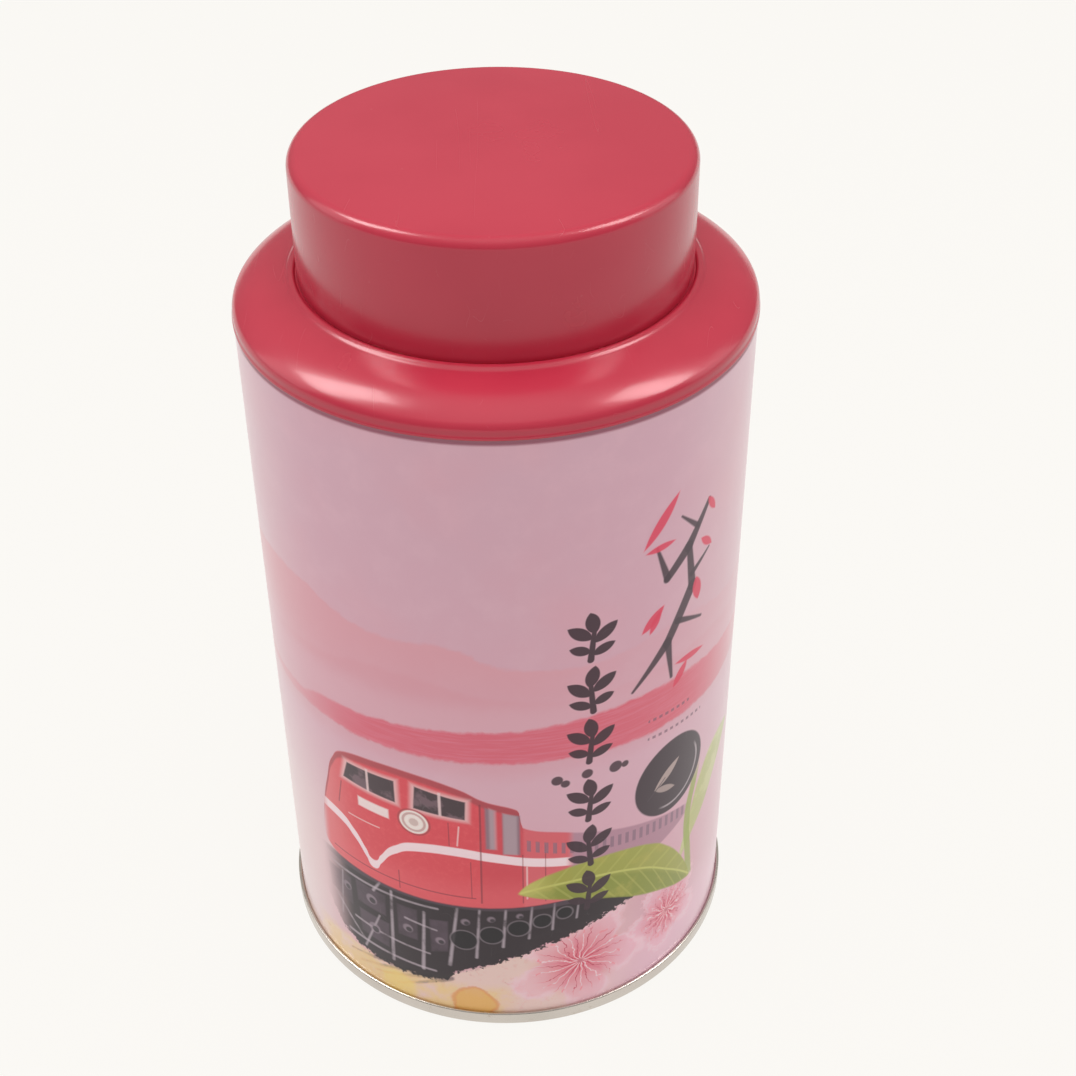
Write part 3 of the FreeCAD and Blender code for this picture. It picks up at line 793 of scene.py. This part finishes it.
def leaves(art):
    """A broad tea leaf, its stem and a paler leaf behind."""
    pale = art.between([(34, 27), (37, 36), (40, 44), (43.5, 48), (48, 49), (54, 47)],
                       [(34, 26), (38, 31), (42, 35), (46, 40), (50, 44), (54, 46.8)], 0.7)
    pale = art.mul(pale, art.mul(art.along(33.5, 35.5), art.along(54.5, 53.0)))
    art.lay(pale, (168, 178, 96), 0.8)
    art.lay(art.mul(pale, art.ease(art.rough, 0.45, 0.6)), (200, 196, 150), 0.5)
    stem_line = art.graph(art.up, [(20, 38.2), (28, 37.2), (36, 36.4), (44, 37.8), (52, 40.5)])
    stem = art.ease(art.absolute(art.sub(art.across, stem_line)), 1.15, 0.75)
    stem = art.mul(stem, art.mul(art.rising(19.5, 21.0), art.rising(50.0, 44.0)))
    art.lay(stem, (146, 158, 74), 0.88)
    top = [(1.5, 34.6), (4, 37.0), (9, 39.0), (15, 39.8), (21, 39.2), (27, 37.0), (31, 33.6),
           (35, 28.0), (38.4, 20.5)]
    low = [(1.5, 34.2), (5, 32.8), (11, 31.0), (18, 28.6), (24, 25.6), (30, 23.0), (34.5, 21.0),
           (38.4, 20.0)]
    leaf = art.between(top, low, 0.35)
    leaf = art.mul(leaf, art.mul(art.along(1.2, 2.0), art.along(38.6, 37.8)))
    art.lay(leaf, (150, 152, 66), 0.96)
    vein = art.sub(art.up,
                   art.graph(art.across,
                             [(1.5, 34.4), (8, 35.6), (16, 35.2), (24, 32.6), (31, 27.6),
                              (38.4, 20.2)]))
    art.lay(art.mul(leaf, art.ease(vein, 0.6, -1.6)), (122, 130, 52), 0.75)
    art.lay(art.mul(leaf, art.ease(art.absolute(vein), 0.45, 0.1)), (186, 186, 104), 0.8)
    ribs = art.math("SINE", art.add(art.mul(art.across, 1.9), art.mul(art.absolute(vein), -1.5)))
    art.lay(art.mul(leaf, art.ease(ribs, 0.75, 0.98)), (172, 172, 92), 0.4)
    art.lay(art.mul(leaf, art.ease(art.rough, 0.5, 0.7)), (168, 160, 78), 0.55)
    art.lay(art.mul(leaf, art.along(9.0, 2.0)), (196, 190, 110), 0.6)


def blossom(art, centre, size, turn_by, rough):
    """A soft washed blossom: faint petals, a rosy glow and fine stamens."""
    shift = art.vector("SUBTRACT", art.spot, (centre[0], centre[1], 1.0))
    x, y, _ = art.split(shift)
    angle = art.math("ARCTAN2", y, x)
    away = art.vector("LENGTH", shift)
    lobes = art.absolute(art.math("COSINE", art.math("MULTIPLY_ADD", angle, 2.5, turn_by)))
    edge = art.mul(art.add(lobes, 1.3), size * 0.45)
    edge = art.add(edge, art.mul(art.sub(rough, 0.5), size * 0.7))
    inside = art.sub(edge, away)
    flower = art.ease(inside, -0.9, 1.4)
    art.lay(flower, (224, 168, 184), 0.6)
    art.lay(art.mul(flower, art.ease(inside, 2.2, 0.4)), (236, 206, 214), 0.45)
    art.lay(art.mul(flower, art.ease(lobes, 0.22, 0.02)), (206, 118, 144), 0.4)
    glow = art.ease(art.add(away, art.mul(rough, size * 0.35)), size * 1.0, size * 0.2)
    art.lay(glow, (202, 72, 94), 0.8)
    bent = art.math("MULTIPLY_ADD", angle, 6.5, art.mul(art.add(rough, art.mul(away, 0.03)), 5.0))
    spokes = art.absolute(art.math("SINE", bent))
    near = art.ease(away, size * 0.74, size * 0.55)
    art.lay(art.mul(art.ease(art.mul(spokes, away), 0.9, 0.3), near), (240, 206, 212), 0.8)
    other = art.absolute(art.math("SINE", art.add(bent, 1.3)))
    art.lay(art.mul(art.ease(art.mul(other, away), 0.8, 0.25), near), (178, 44, 74), 0.75)
    tips = art.mul(art.ease(spokes, 0.2, 0.05),
                   art.ease(art.absolute(art.sub(away, size * 0.6)), 0.7, 0.3))
    art.lay(tips, (226, 116, 130), 0.8)


def sprig_column(art):
    """Six small dark tea sprigs, one above another."""
    dark = (56, 36, 46)
    high = art.math("GREATER_THAN", art.up, 61.3)
    base = art.math("MULTIPLY_ADD", high, 62.5 - 27.0, 27.0)
    local = art.math("FLOORED_MODULO", art.sub(art.up, base), 11.0)
    cell = art.math("FLOOR", art.mul(art.sub(art.up, base), 1.0 / 11.0))
    lean = art.math("MULTIPLY_ADD", art.math("FLOORED_MODULO", cell, 2.0), 2.0, -1.0)
    x = art.mul(art.sub(art.across, 14.0), lean)
    keep, keep_spot, keep_up = art.across, art.spot, art.up
    art.across, art.up = x, art.sub(local, 5.5)
    art.spot = art.join(art.across, art.up, 1.0)
    mask = art.most(
        art.stroke((0.3, -4.6), (-0.3, 2.0), 0.6, 0.4, 0.12),
        art.petal((-0.4, 0.6), (0.5, 5.0), 2.5, 0.12),
        art.petal((0.0, -0.4), (4.2, 2.6), 2.3, 0.12),
        art.petal((-0.1, -1.2), (-4.2, 2.1), 2.3, 0.12),
        art.petal((0.2, -3.0), (3.9, -1.6), 1.9, 0.12),
        art.petal((0.2, -3.6), (-3.9, -2.0), 1.9, 0.12))
    art.across, art.spot, art.up = keep, keep_spot, keep_up
    rows = art.mul(art.rising(27.0, 27.3), art.rising(95.6, 95.2))
    gap = art.ease(art.absolute(art.sub(art.up, 61.2)), 1.2, 1.5)
    art.lay(art.mul(mask, art.mul(rows, gap)), dark, 0.97)
    for centre, size in (((8.2, 60.6), 1.0), ((9.6, 59.6), 0.8), ((13.4, 60.8), 1.0),
                         ((18.6, 60.4), 1.2), ((20.4, 60.2), 0.7)):
        art.lay(art.dot(centre, size, 0.15), dark, 0.92)


def brush_branch(art):
    """A flowering branch in loose dark and red brush strokes."""
    dark, red = (60, 42, 52), (204, 56, 84)
    for first, second, start, end in (
            ((37.0, 106.5), (32.2, 100.0), 0.35, 0.75), ((32.2, 100.0), (27.6, 96.0), 0.8, 0.6),
            ((32.4, 99.8), (33.6, 91.5), 0.5, 0.7), ((33.6, 91.5), (28.2, 82.5), 0.85, 0.7),
            ((28.2, 82.5), (21.4, 75.5), 0.75, 0.2), ((30.4, 86.0), (36.6, 83.4), 0.5, 0.2),
            ((28.4, 82.8), (29.6, 74.6), 0.6, 0.25), ((25.2, 103.0), (27.6, 96.2), 0.2, 0.55),
            ((33.4, 94.0), (37.8, 96.8), 0.45, 0.15), ((34.2, 103.0), (30.2, 106.8), 0.4, 0.15)):
        art.lay(art.stroke(first, second, start * 1.35, end * 1.35, 0.2), dark, 0.95)
    for first, second, width in (
            ((22.6, 103.6), (29.4, 112.0), 2.0), ((29.0, 103.0), (23.0, 102.8), 1.3),
            ((34.6, 92.6), (35.4, 87.6), 2.2),
            ((22.8, 87.0), (27.2, 91.0), 1.9), ((26.6, 90.4), (24.4, 86.2), 1.5),
            ((30.4, 76.8), (38.0, 76.0), 1.4),
            ((33.4, 76.0), (30.2, 71.8), 1.8), ((38.6, 97.0), (35.4, 99.8), 1.5),
            ((36.8, 107.0), (39.0, 103.6), 1.4)):
        art.lay(art.petal(first, second, width, 0.2), red, 0.93)
    for first, second in (((25.2, 67.2), (34.4, 66.4)), ((25.2, 63.2), (38.2, 61.8))):
        rule = art.stroke(first, second, 0.3, 0.3, 0.15)
        beads = art.ease(art.math("SINE", art.mul(art.across, 4.6)), -0.35, 0.15)
        art.lay(art.mul(rule, beads), (120, 84, 100), 0.75)


def dark_roundel(art):
    """A plain dark disc with a thin pale crescent and two pale leaves."""
    art.lay(art.dot((31.2, 51.2), 8.5, 0.2), (48, 36, 44), 0.97)
    crescent = art.mul(art.ring((31.2, 51.2), 6.9, 0.22),
                       art.ease(art.side((25.0, 42.0), (38.5, 57.0)), 0.0, -2.4))
    art.lay(crescent, (178, 164, 170), 0.8)
    art.lay(art.petal((27.0, 50.0), (32.8, 54.4), 1.8, 0.15), (186, 164, 160), 0.75)
    art.lay(art.petal((27.0, 50.0), (32.0, 48.0), 1.5, 0.15), (186, 164, 160), 0.65)
    art.lay(art.stroke((25.6, 48.4), (29.4, 51.6), 0.15, 0.12, 0.12), (70, 58, 66), 0.8)


def picture_group(name, paint):
    """A part of the picture as a node group: it lays its inks over the ground it is given."""
    fields = ("Across", "Up", "Rough", "Grit", "Streaks", "Clouds")
    tree, shades, entry = new_group(
        name, [(key, "Float", None) for key in fields] + [("Ground", "Color", None)],
        [("Ink", "Color", None)])
    art = Print(tree, entry)
    paint(art)
    leave_group(shades, Ink=art.colour)
    return tree


def skirt_shade(art):
    """Plain sky over the join at the back, and a painted shadow line in dark plum under the
    shoulder's skirt.
    """
    art.lay(art.ease(art.absolute(art.across), 112.0, 128.0), (204, 160, 172), 0.95)
    # Painted shadow: a dark plum band along the top of the print, where the shoulder's skirt
    # overhangs the wall.
    art.lay(art.rising(127.3, 127.8), (138, 72, 90), 0.8)


def blossoms(art):
    """Open blossoms along the foot of the picture, front and back."""
    blossom(art, (31.5, 16.0), 9.5, 1.3, art.grit)
    blossom(art, (12.5, 14.0), 13.0, 0.4, art.rough)
    blossom(art, (-98.0, 20.0), 13.0, 0.9, art.rough)
    blossom(art, (84.0, 16.0), 11.0, 0.2, art.grit)


PICTURE = (("print_sky", sky_and_hills, True), ("print_ground", ground_washes, True),
           ("print_blossoms", blossoms, True), ("print_running_gear", running_gear, False),
           ("print_engine", engine_body, False), ("print_leaves", leaves, False),
           ("print_sprigs", sprig_column, False), ("print_branch", brush_branch, False),
           ("print_roundel", dark_roundel, False), ("print_skirt_shade", skirt_shade, False))


def printed_material(colours):
    """Offset print on white-coated sheet under a satin varnish."""
    material, shades, surface, place = new_material("varnished_print")
    x, y, z = shades.split(place)
    angle = shades.math("ARCTAN2", x, shades.mul(y, -1.0))
    across = shades.mul(angle, WALL_RADIUS / MM)
    flat = shades.join(across, z)
    wobble_field = shades.noise(flat, 0.35, 3.0, 0.6)
    grit = shades.noise(flat, 0.9, 3.0, 0.6)
    rough = shades.noise(flat, 0.16, 4.0, 0.6)
    streaks = shades.noise(shades.vector("MULTIPLY", flat, (0.12, 1.6, 1.0)), 1.0, 3.0, 0.6)
    clouds = shades.noise(shades.join(across, z, 1.0), 0.03, 3.0)
    wobble = shades.math("MULTIPLY_ADD", wobble_field, 1.6, -0.8)
    soft_up = shades.add(z, wobble)
    soft_across = shades.add(across, wobble)
    # Crisp inks creep too, by hundredths of a millimetre, so every part waits for the same grain.
    crisp_up = shades.math("MULTIPLY_ADD", wobble, 0.02, z)
    crisp_across = shades.math("MULTIPLY_ADD", wobble, 0.02, across)
    ink = SKY_INK
    for name, paint, washed in PICTURE:
        part = shades.node("ShaderNodeGroup")
        part.node_tree = picture_group(name, paint)
        for key, value in (("Across", soft_across if washed else crisp_across),
                           ("Up", soft_up if washed else crisp_up),
                           ("Rough", rough), ("Grit", grit), ("Streaks", streaks),
                           ("Clouds", clouds), ("Ground", ink)):
            shades.feed(part.inputs[key], value)
        ink = part.outputs["Ink"]
    marks = group_in(shades, "handling_marks", place,
                     Hairlines=0.5, Rub=0.5, Ripple=0.2)
    gain = colours.print_gain
    colour = shades.blend(1.0, ink, (gain, gain, gain, 1.0), "MULTIPLY")
    colour = shades.blend(shades.mul(marks["Line mask"], 0.12), colour, linear(235, 225, 226))
    shades.feed(surface["Base Color"], colour)
    rough_out = shades.math("MULTIPLY_ADD", marks["Rub mask"], 0.08, 0.3)
    shades.feed(surface["Roughness"], rough_out)
    set_inputs(surface, IOR=1.34, Coat_Weight=0.45, Coat_IOR=1.26, Coat_Roughness=0.12)
    raise_bump(shades, surface, marks["Height"], MARK_DEPTH)
    return material


# -------------------------------------------------------------- operators


FINISHES = {}


def materials():
    """All finishes, built once and then shared."""
    colours = bpy.context.scene.tea_tin_colours
    if not FINISHES:
        handling_marks_group()
        rolled_grain_group()
        FINISHES["lacquer"] = lacquer_material(colours)
        FINISHES["tinplate"] = tinplate_material("plain_tinplate", tuple(colours.tinplate), 0.24,
                                                 0.42)
        FINISHES["inside"] = tinplate_material("gold_lacquered_inside", tuple(colours.inside), 0.3,
                                               0.45)
        FINISHES["compound"] = compound_material()
        FINISHES["aluminium"] = knob_material()
        FINISHES["print"] = printed_material(colours)
    return FINISHES


def workshop(context):
    """The sheet sizes, the usual sheet's thickness and the finishes."""
    sizes = context.scene.tea_tin_sheet
    return sizes, sizes.sheet, materials()


class TEATIN_OT_base(bpy.types.Operator):
    """Build the pressed base and its double seam"""

    bl_idname = "teatin.base"
    bl_label = "Base"

    def execute(self, context):
        sizes, wall_sheet, finish = workshop(context)
        sheet = sizes.base_sheet
        chuck = WALL_RADIUS - wall_sheet - FOLD_PLAY - sheet
        cover = WALL_RADIUS + FOLD_PLAY
        panel = SEAM_TOP - FOLD_PLAY - sheet
        sheet_piece(
            "base_and_seam",
            [(0.0, panel - DISH_DROP), (chuck - DISH_EDGE, panel - DISH_DROP, 0.8 * MM),
             (chuck - DISH_RIM, panel, 0.8 * MM), (chuck, panel, 0.3 * MM),
             (chuck, FOOT_LEVEL, 0.3 * MM), (SEAM_RADIUS, FOOT_LEVEL, 0.34 * MM),
             (SEAM_RADIUS, SEAM_TOP, 0.3 * MM, 8), (cover, SEAM_TOP, 0.3 * MM, 8),
             (cover, WALL_FOOT + wall_sheet + HOOK_ROOM)],
            DOWN, lambda centre, _: (centre.z < panel + 0.01 * MM
                                     and centre.xy.length < chuck - 0.1 * MM),
            sizes.steps, sheet, "can", "base_end", [finish["tinplate"], finish["tinplate"]])
        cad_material("base_seam_compound", finish["compound"])
        return {"FINISHED"}


class TEATIN_OT_wall(bpy.types.Operator):
    """Roll the printed wall, hooked at its foot and drawn in at its top"""

    bl_idname = "teatin.wall"
    bl_label = "Printed wall"

    def execute(self, context):
        sizes, sheet, finish = workshop(context)
        lap = SKIRT_RADIUS - sheet - LAP_ROOM
        step = WALL_TOP - STEP_DROP
        sheet_piece(
            "printed_wall",
            [(HOOK_RADIUS - sheet, SEAM_TOP - HOOK_SHY), (HOOK_RADIUS - sheet, WALL_FOOT + sheet),
             (WALL_RADIUS, WALL_FOOT + sheet), (WALL_RADIUS, step, 0.2 * MM),
             (lap, step + STEP_HEIGHT, 0.2 * MM), (lap, WALL_TOP, 0.3 * MM),
             (lap - RIM_WIDTH, WALL_TOP)],
            ROUND, lambda centre, normal: abs(normal.z) < 0.2 and centre.z > SEAM_TOP,
            sizes.steps, sheet, "can", "body_wall", [finish["print"], finish["inside"]])
        return {"FINISHED"}


class TEATIN_OT_shoulder(bpy.types.Operator):
    """Press the red shoulder with its seat and skirt"""

    bl_idname = "teatin.shoulder"
    bl_label = "Shoulder"

    def execute(self, context):
        sizes, sheet, finish = workshop(context)
        seat = SEAT_LEVEL
        bead, crest = CAP_RADIUS + BEAD_OFF_CAP, SEAT_LEVEL + BEAD_HEIGHT
        start = Vector((bead + 0.95 * MM, seat - FOLD_PLAY))
        end = Vector((SKIRT_RADIUS - LAP_ROOM, WALL_TOP + 0.45 * MM))
        parts = SLOPE_PARTS
        # The slope stays even for its first third and steepens outward from there.
        falls = [math.tan(sizes.slope_start + (sizes.slope_end - sizes.slope_start)
                          * max(0.0, (number + 0.5) / parts - 0.35) ** 1.5 * 1.9)
                 for number in range(parts)]
        slope = []
        level = start.y
        for number, fall in enumerate(falls[:-1]):
            level -= (start.y - end.y) * fall / sum(falls)
            slope.append((start.x + (end.x - start.x) * (number + 1) / parts, level))
        skirt = SKIRT_RADIUS - 0.09 * MM
        lip = SKIRT_RADIUS + SKIRT_LIP
        foot = SKIRT_LEVEL + 0.25 * MM
        sheet_piece(
            "shoulder",
            [(CAP_RADIUS - 0.55 * MM, seat), (bead - 0.56 * MM, seat, 0.1 * MM, 4),
             (bead - 0.4 * MM, crest, 0.32 * MM, 8), (bead + 0.35 * MM, crest, 0.38 * MM, 8),
             (start.x, start.y, 0.25 * MM, 5)] + slope
            + [(skirt, end.y, sizes.shoulder_roll, 12), (skirt, foot + 0.6 * MM, 0.2 * MM, 5),
               (lip, foot + 0.3 * MM, 0.12 * MM, 5), (lip, foot)],
            UP, lambda _, normal: normal.z ** 2 > 0.25,
            sizes.steps, sheet, "can", "shoulder_ring", [finish["lacquer"], finish["tinplate"]])
        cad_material("shoulder_seam_compound", finish["compound"])
        return {"FINISHED"}


class TEATIN_OT_neck(bpy.types.Operator):
    """Roll the neck with its flange and inward curl"""

    bl_idname = "teatin.neck"
    bl_label = "Neck"

    def execute(self, context):
        sizes, sheet, finish = workshop(context)
        outside = CAP_RADIUS - sheet * 2 - NECK_PLAY
        curl, curl_round = CURL_RADIUS, CURL_RADIUS * 0.99
        sheet_piece(
            "neck",
            [(FLANGE_RADIUS, NECK_FOOT + sheet), (outside, NECK_FOOT + sheet, 0.3 * MM),
             (outside, NECK_TOP, curl_round, 10), (outside - curl * 2, NECK_TOP, curl_round, 10),
             (outside - curl * 2, NECK_TOP - curl * 2, curl_round, 10),
             (outside - curl, NECK_TOP - curl * 2)],
            ROUND, lambda centre, normal: abs(normal.z) < 0.1 and centre.z < NECK_TOP - 2 * MM,
            sizes.steps, sheet, "can", "neck_ring", [finish["tinplate"], finish["tinplate"]])
        return {"FINISHED"}


class TEATIN_OT_plug_lid(bpy.types.Operator):
    """Press the plug lid and fit its turned knob and rivet"""

    bl_idname = "teatin.plug_lid"
    bl_label = "Plug lid"

    def execute(self, context):
        sizes, sheet, finish = workshop(context)
        plug, floor = PAN_RADIUS - LID_RIM - sheet, PAN_FOOT + sheet
        sheet_piece(
            "plug_lid",
            [(PAN_RADIUS, PAN_TOP), (plug, PAN_TOP, 0.3 * MM), (plug, floor, 0.6 * MM),
             ((plug + sheet) * 0.62, floor, 0.6 * MM), (RIVET_RADIUS * HOLE_SHARE, floor)],
            UP, lambda _, normal: normal.z ** 2 > 0.8,
            sizes.steps, sheet, "inner_lid", "inner_lid_pan",
            [finish["tinplate"], finish["tinplate"]])
        rise = KNOB_TOP - KNOB_FOOT
        solid_piece(
            "lid_knob",
            [(KNOB_RADIUS * share, KNOB_FOOT + rise * height, rounding * MM)
             for share, height, rounding in KNOB_OUTLINE],
            KNOB_STEPS, "inner_lid", "inner_lid_knob", [finish["aluminium"]])
        head, shank = RIVET_FOOT + RIVET_HEAD, RIVET_RADIUS * RIVET_SHANK_SHARE
        solid_piece(
            "lid_rivet",
            [(0.0, RIVET_FOOT), (RIVET_RADIUS * 0.7, RIVET_FOOT, 0.3 * MM),
             (RIVET_RADIUS, RIVET_FOOT + 0.36 * MM, 0.2 * MM), (RIVET_RADIUS, head), (shank, head),
             (shank, KNOB_FOOT - 0.01 * MM), (0.0, KNOB_FOOT - 0.01 * MM)],
            RIVET_STEPS, "inner_lid", "knob_rivet", [finish["aluminium"]])
        return {"FINISHED"}


class TEATIN_OT_cap(bpy.types.Operator):
    """Draw the slip cap with its hemmed lower edge"""

    bl_idname = "teatin.cap"
    bl_label = "Slip cap"

    def execute(self, context):
        sizes, sheet, finish = workshop(context)
        hem = CAP_RADIUS - sheet * 2 - HEM_PLAY
        sheet_piece(
            "slip_cap",
            [(0.0, CAP_TOP), (CAP_RADIUS * 0.3, CAP_TOP), (CAP_RADIUS * 0.6, CAP_TOP),
             (CAP_RADIUS, CAP_TOP, sizes.cap_round, 14), (CAP_RADIUS, SEAT_LEVEL, 0.27 * MM, 6),
             (hem, SEAT_LEVEL, 0.27 * MM, 6), (hem, SEAT_LEVEL + HEM_HEIGHT)],
            UP, lambda centre, _: centre.z > CAP_TOP - 0.1 * MM,
            sizes.steps, sheet, "cap", "cap_shell", [finish["lacquer"], finish["tinplate"]])
        return {"FINISHED"}


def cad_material(node, material):
    """Give a carried-over node its finish."""
    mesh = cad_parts[node].data
    mesh.materials.clear()
    mesh.materials.append(material)


FLOOR_RADIUS, FLOOR_STEPS = 4.0, 96
FLOOR_TONE, FLOOR_GLOW, GLOW_LOST_ON_MATT = 0.06, 0.94, -0.34
ROOM_LIGHT, ROOM_LIGHT_RISE = 0.2, 0.5
LAMP_AIM = (0.0, 0.0, 0.1)
LAMP_COLOUR = (1.0, 0.985, 0.97)
# Name, angle round from the front, angle up, distance, width, height, watts.
LAMPS = (("soft_left", -98, 54, 0.9, 0.28, 0.42, 3.7), ("soft_right", 88, 50, 0.9, 0.27, 0.42, 3.1),
         ("side_left", -98, 20, 0.9, 0.5, 0.5, 0.9), ("side_right", 98, 20, 0.9, 0.5, 0.5, 0.9),
         ("soft_above", 0, 80, 1.1, 0.9, 0.9, 7.1))
# The camera's place in wall radii, its angles and its lens.
CAMERA_BACK, CAMERA_UP = 5.937, 6.414
CAMERA_TURN, CAMERA_TILT, CAMERA_ROLL = -0.0257, 0.6473, -0.0072
FOCAL_LENGTH, SENSOR_WIDTH = 58.83, 36.0
CAMERA_RANGE = 0.01, 20.0


class TEATIN_OT_stage(bpy.types.Operator):
    """Lay the pale floor, set the soft lights and the camera"""

    bl_idname = "teatin.stage"
    bl_label = "Stage"

    def execute(self, context):
        scene = context.scene
        colours = scene.tea_tin_colours
        bm = bmesh.new()
        bmesh.ops.create_circle(bm, cap_ends=True, segments=FLOOR_STEPS, radius=FLOOR_RADIUS)
        mesh = bpy.data.meshes.new("floor")
        bm.to_mesh(mesh)
        bm.free()
        floor = bpy.data.objects.new("floor", mesh)
        scene.collection.objects.link(floor)
        material, shades, surface = bare_material("pale_floor")
        glow = (*colours.floor, 1.0)
        set_inputs(surface, Roughness=0.9, Specular_IOR_Level=0.0, Emission_Color=glow,
                   Base_Color=(*(part * FLOOR_TONE for part in colours.floor), 1.0))
        matt = shades.node("ShaderNodeLightPath").outputs["Is Diffuse Ray"]
        shades.feed(surface["Emission Strength"],
                    shades.math("MULTIPLY_ADD", matt, GLOW_LOST_ON_MATT, FLOOR_GLOW))
        mesh.materials.append(material)

        world = bpy.data.worlds.new("pale_room")
        world.use_nodes = True
        backing = world.node_tree.nodes["Background"]
        room = Shades(world.node_tree)
        room.feed(backing.inputs[0], glow)
        upward = room.split(room.node("ShaderNodeTexCoord").outputs["Generated"])[2]
        room.feed(backing.inputs[1], room.math(
            "MULTIPLY_ADD", room.most(upward, 0.0), ROOM_LIGHT_RISE, ROOM_LIGHT))
        scene.world = world

        middle = Vector(LAMP_AIM)
        for name, azimuth, height, distance, wide, tall, power in LAMPS:
            lamp = bpy.data.lights.new(name, "AREA")
            lamp.shape = "RECTANGLE"
            lamp.size = wide
            lamp.size_y = tall
            lamp.energy = power
            lamp.color = LAMP_COLOUR
            holder = bpy.data.objects.new(name, lamp)
            turn_by, lift = math.radians(azimuth), math.radians(height)
            flat = math.cos(lift) * distance
            holder.location = middle + Vector((
                math.sin(turn_by) * flat, -math.cos(turn_by) * flat, math.sin(lift) * distance))
            holder.visible_glossy = name != "soft_above"
            holder.visible_diffuse = name not in ("soft_left", "soft_right")
            holder.rotation_euler = (middle - holder.location).to_track_quat("-Z", "Y").to_euler()
            scene.collection.objects.link(holder)

        lens = bpy.data.cameras.new("camera")
        lens.sensor_width = SENSOR_WIDTH
        lens.lens = FOCAL_LENGTH
        lens.clip_start, lens.clip_end = CAMERA_RANGE
        camera = bpy.data.objects.new("camera", lens)
        place = Vector((0.0, -CAMERA_BACK, CAMERA_UP)) * WALL_RADIUS
        camera.matrix_world = (Matrix.Translation(place) @ Matrix.Rotation(CAMERA_TURN, 4, "Z")
                               @ Matrix.Rotation(math.pi / 2 - CAMERA_TILT, 4, "X")
                               @ Matrix.Rotation(CAMERA_ROLL, 4, "Z"))
        scene.collection.objects.link(camera)
        scene.camera = camera
        scene.view_settings.view_transform = "Standard"
        scene.view_settings.look = "None"
        return {"FINISHED"}


class TEATIN_PT_panel(bpy.types.Panel):
    """Tea tin pieces and settings"""

    bl_label = "Tea Tin"
    bl_idname = "TEATIN_PT_panel"
    bl_space_type = "VIEW_3D"
    bl_region_type = "UI"
    bl_category = "Tea Tin"

    def draw(self, context):
        for group in (context.scene.tea_tin_sheet, context.scene.tea_tin_colours):
            box = self.layout.box()
            for key in group.__annotations__:
                box.prop(group, key)
        for operator in OPERATORS:
            self.layout.operator(operator.bl_idname)


OPERATORS = (TEATIN_OT_base, TEATIN_OT_wall, TEATIN_OT_shoulder, TEATIN_OT_neck,
             TEATIN_OT_plug_lid, TEATIN_OT_cap, TEATIN_OT_stage)
CLASSES = (TinSheetSettings, TinColourSettings) + OPERATORS + (TEATIN_PT_panel,)


def register():
    for item in CLASSES:
        bpy.utils.register_class(item)
    bpy.types.Scene.tea_tin_sheet = PointerProperty(type=TinSheetSettings)
    bpy.types.Scene.tea_tin_colours = PointerProperty(type=TinColourSettings)


def unregister():
    del bpy.types.Scene.tea_tin_colours
    del bpy.types.Scene.tea_tin_sheet
    for item in reversed(CLASSES):
        bpy.utils.unregister_class(item)


def main():
    register()
    bpy.ops.teatin.base()
    bpy.ops.teatin.wall()
    bpy.ops.teatin.shoulder()
    bpy.ops.teatin.neck()
    bpy.ops.teatin.plug_lid()
    bpy.ops.teatin.cap()
    bpy.ops.teatin.stage()
    bpy.context.view_layer.update()


if __name__ == "__main__":
    main()
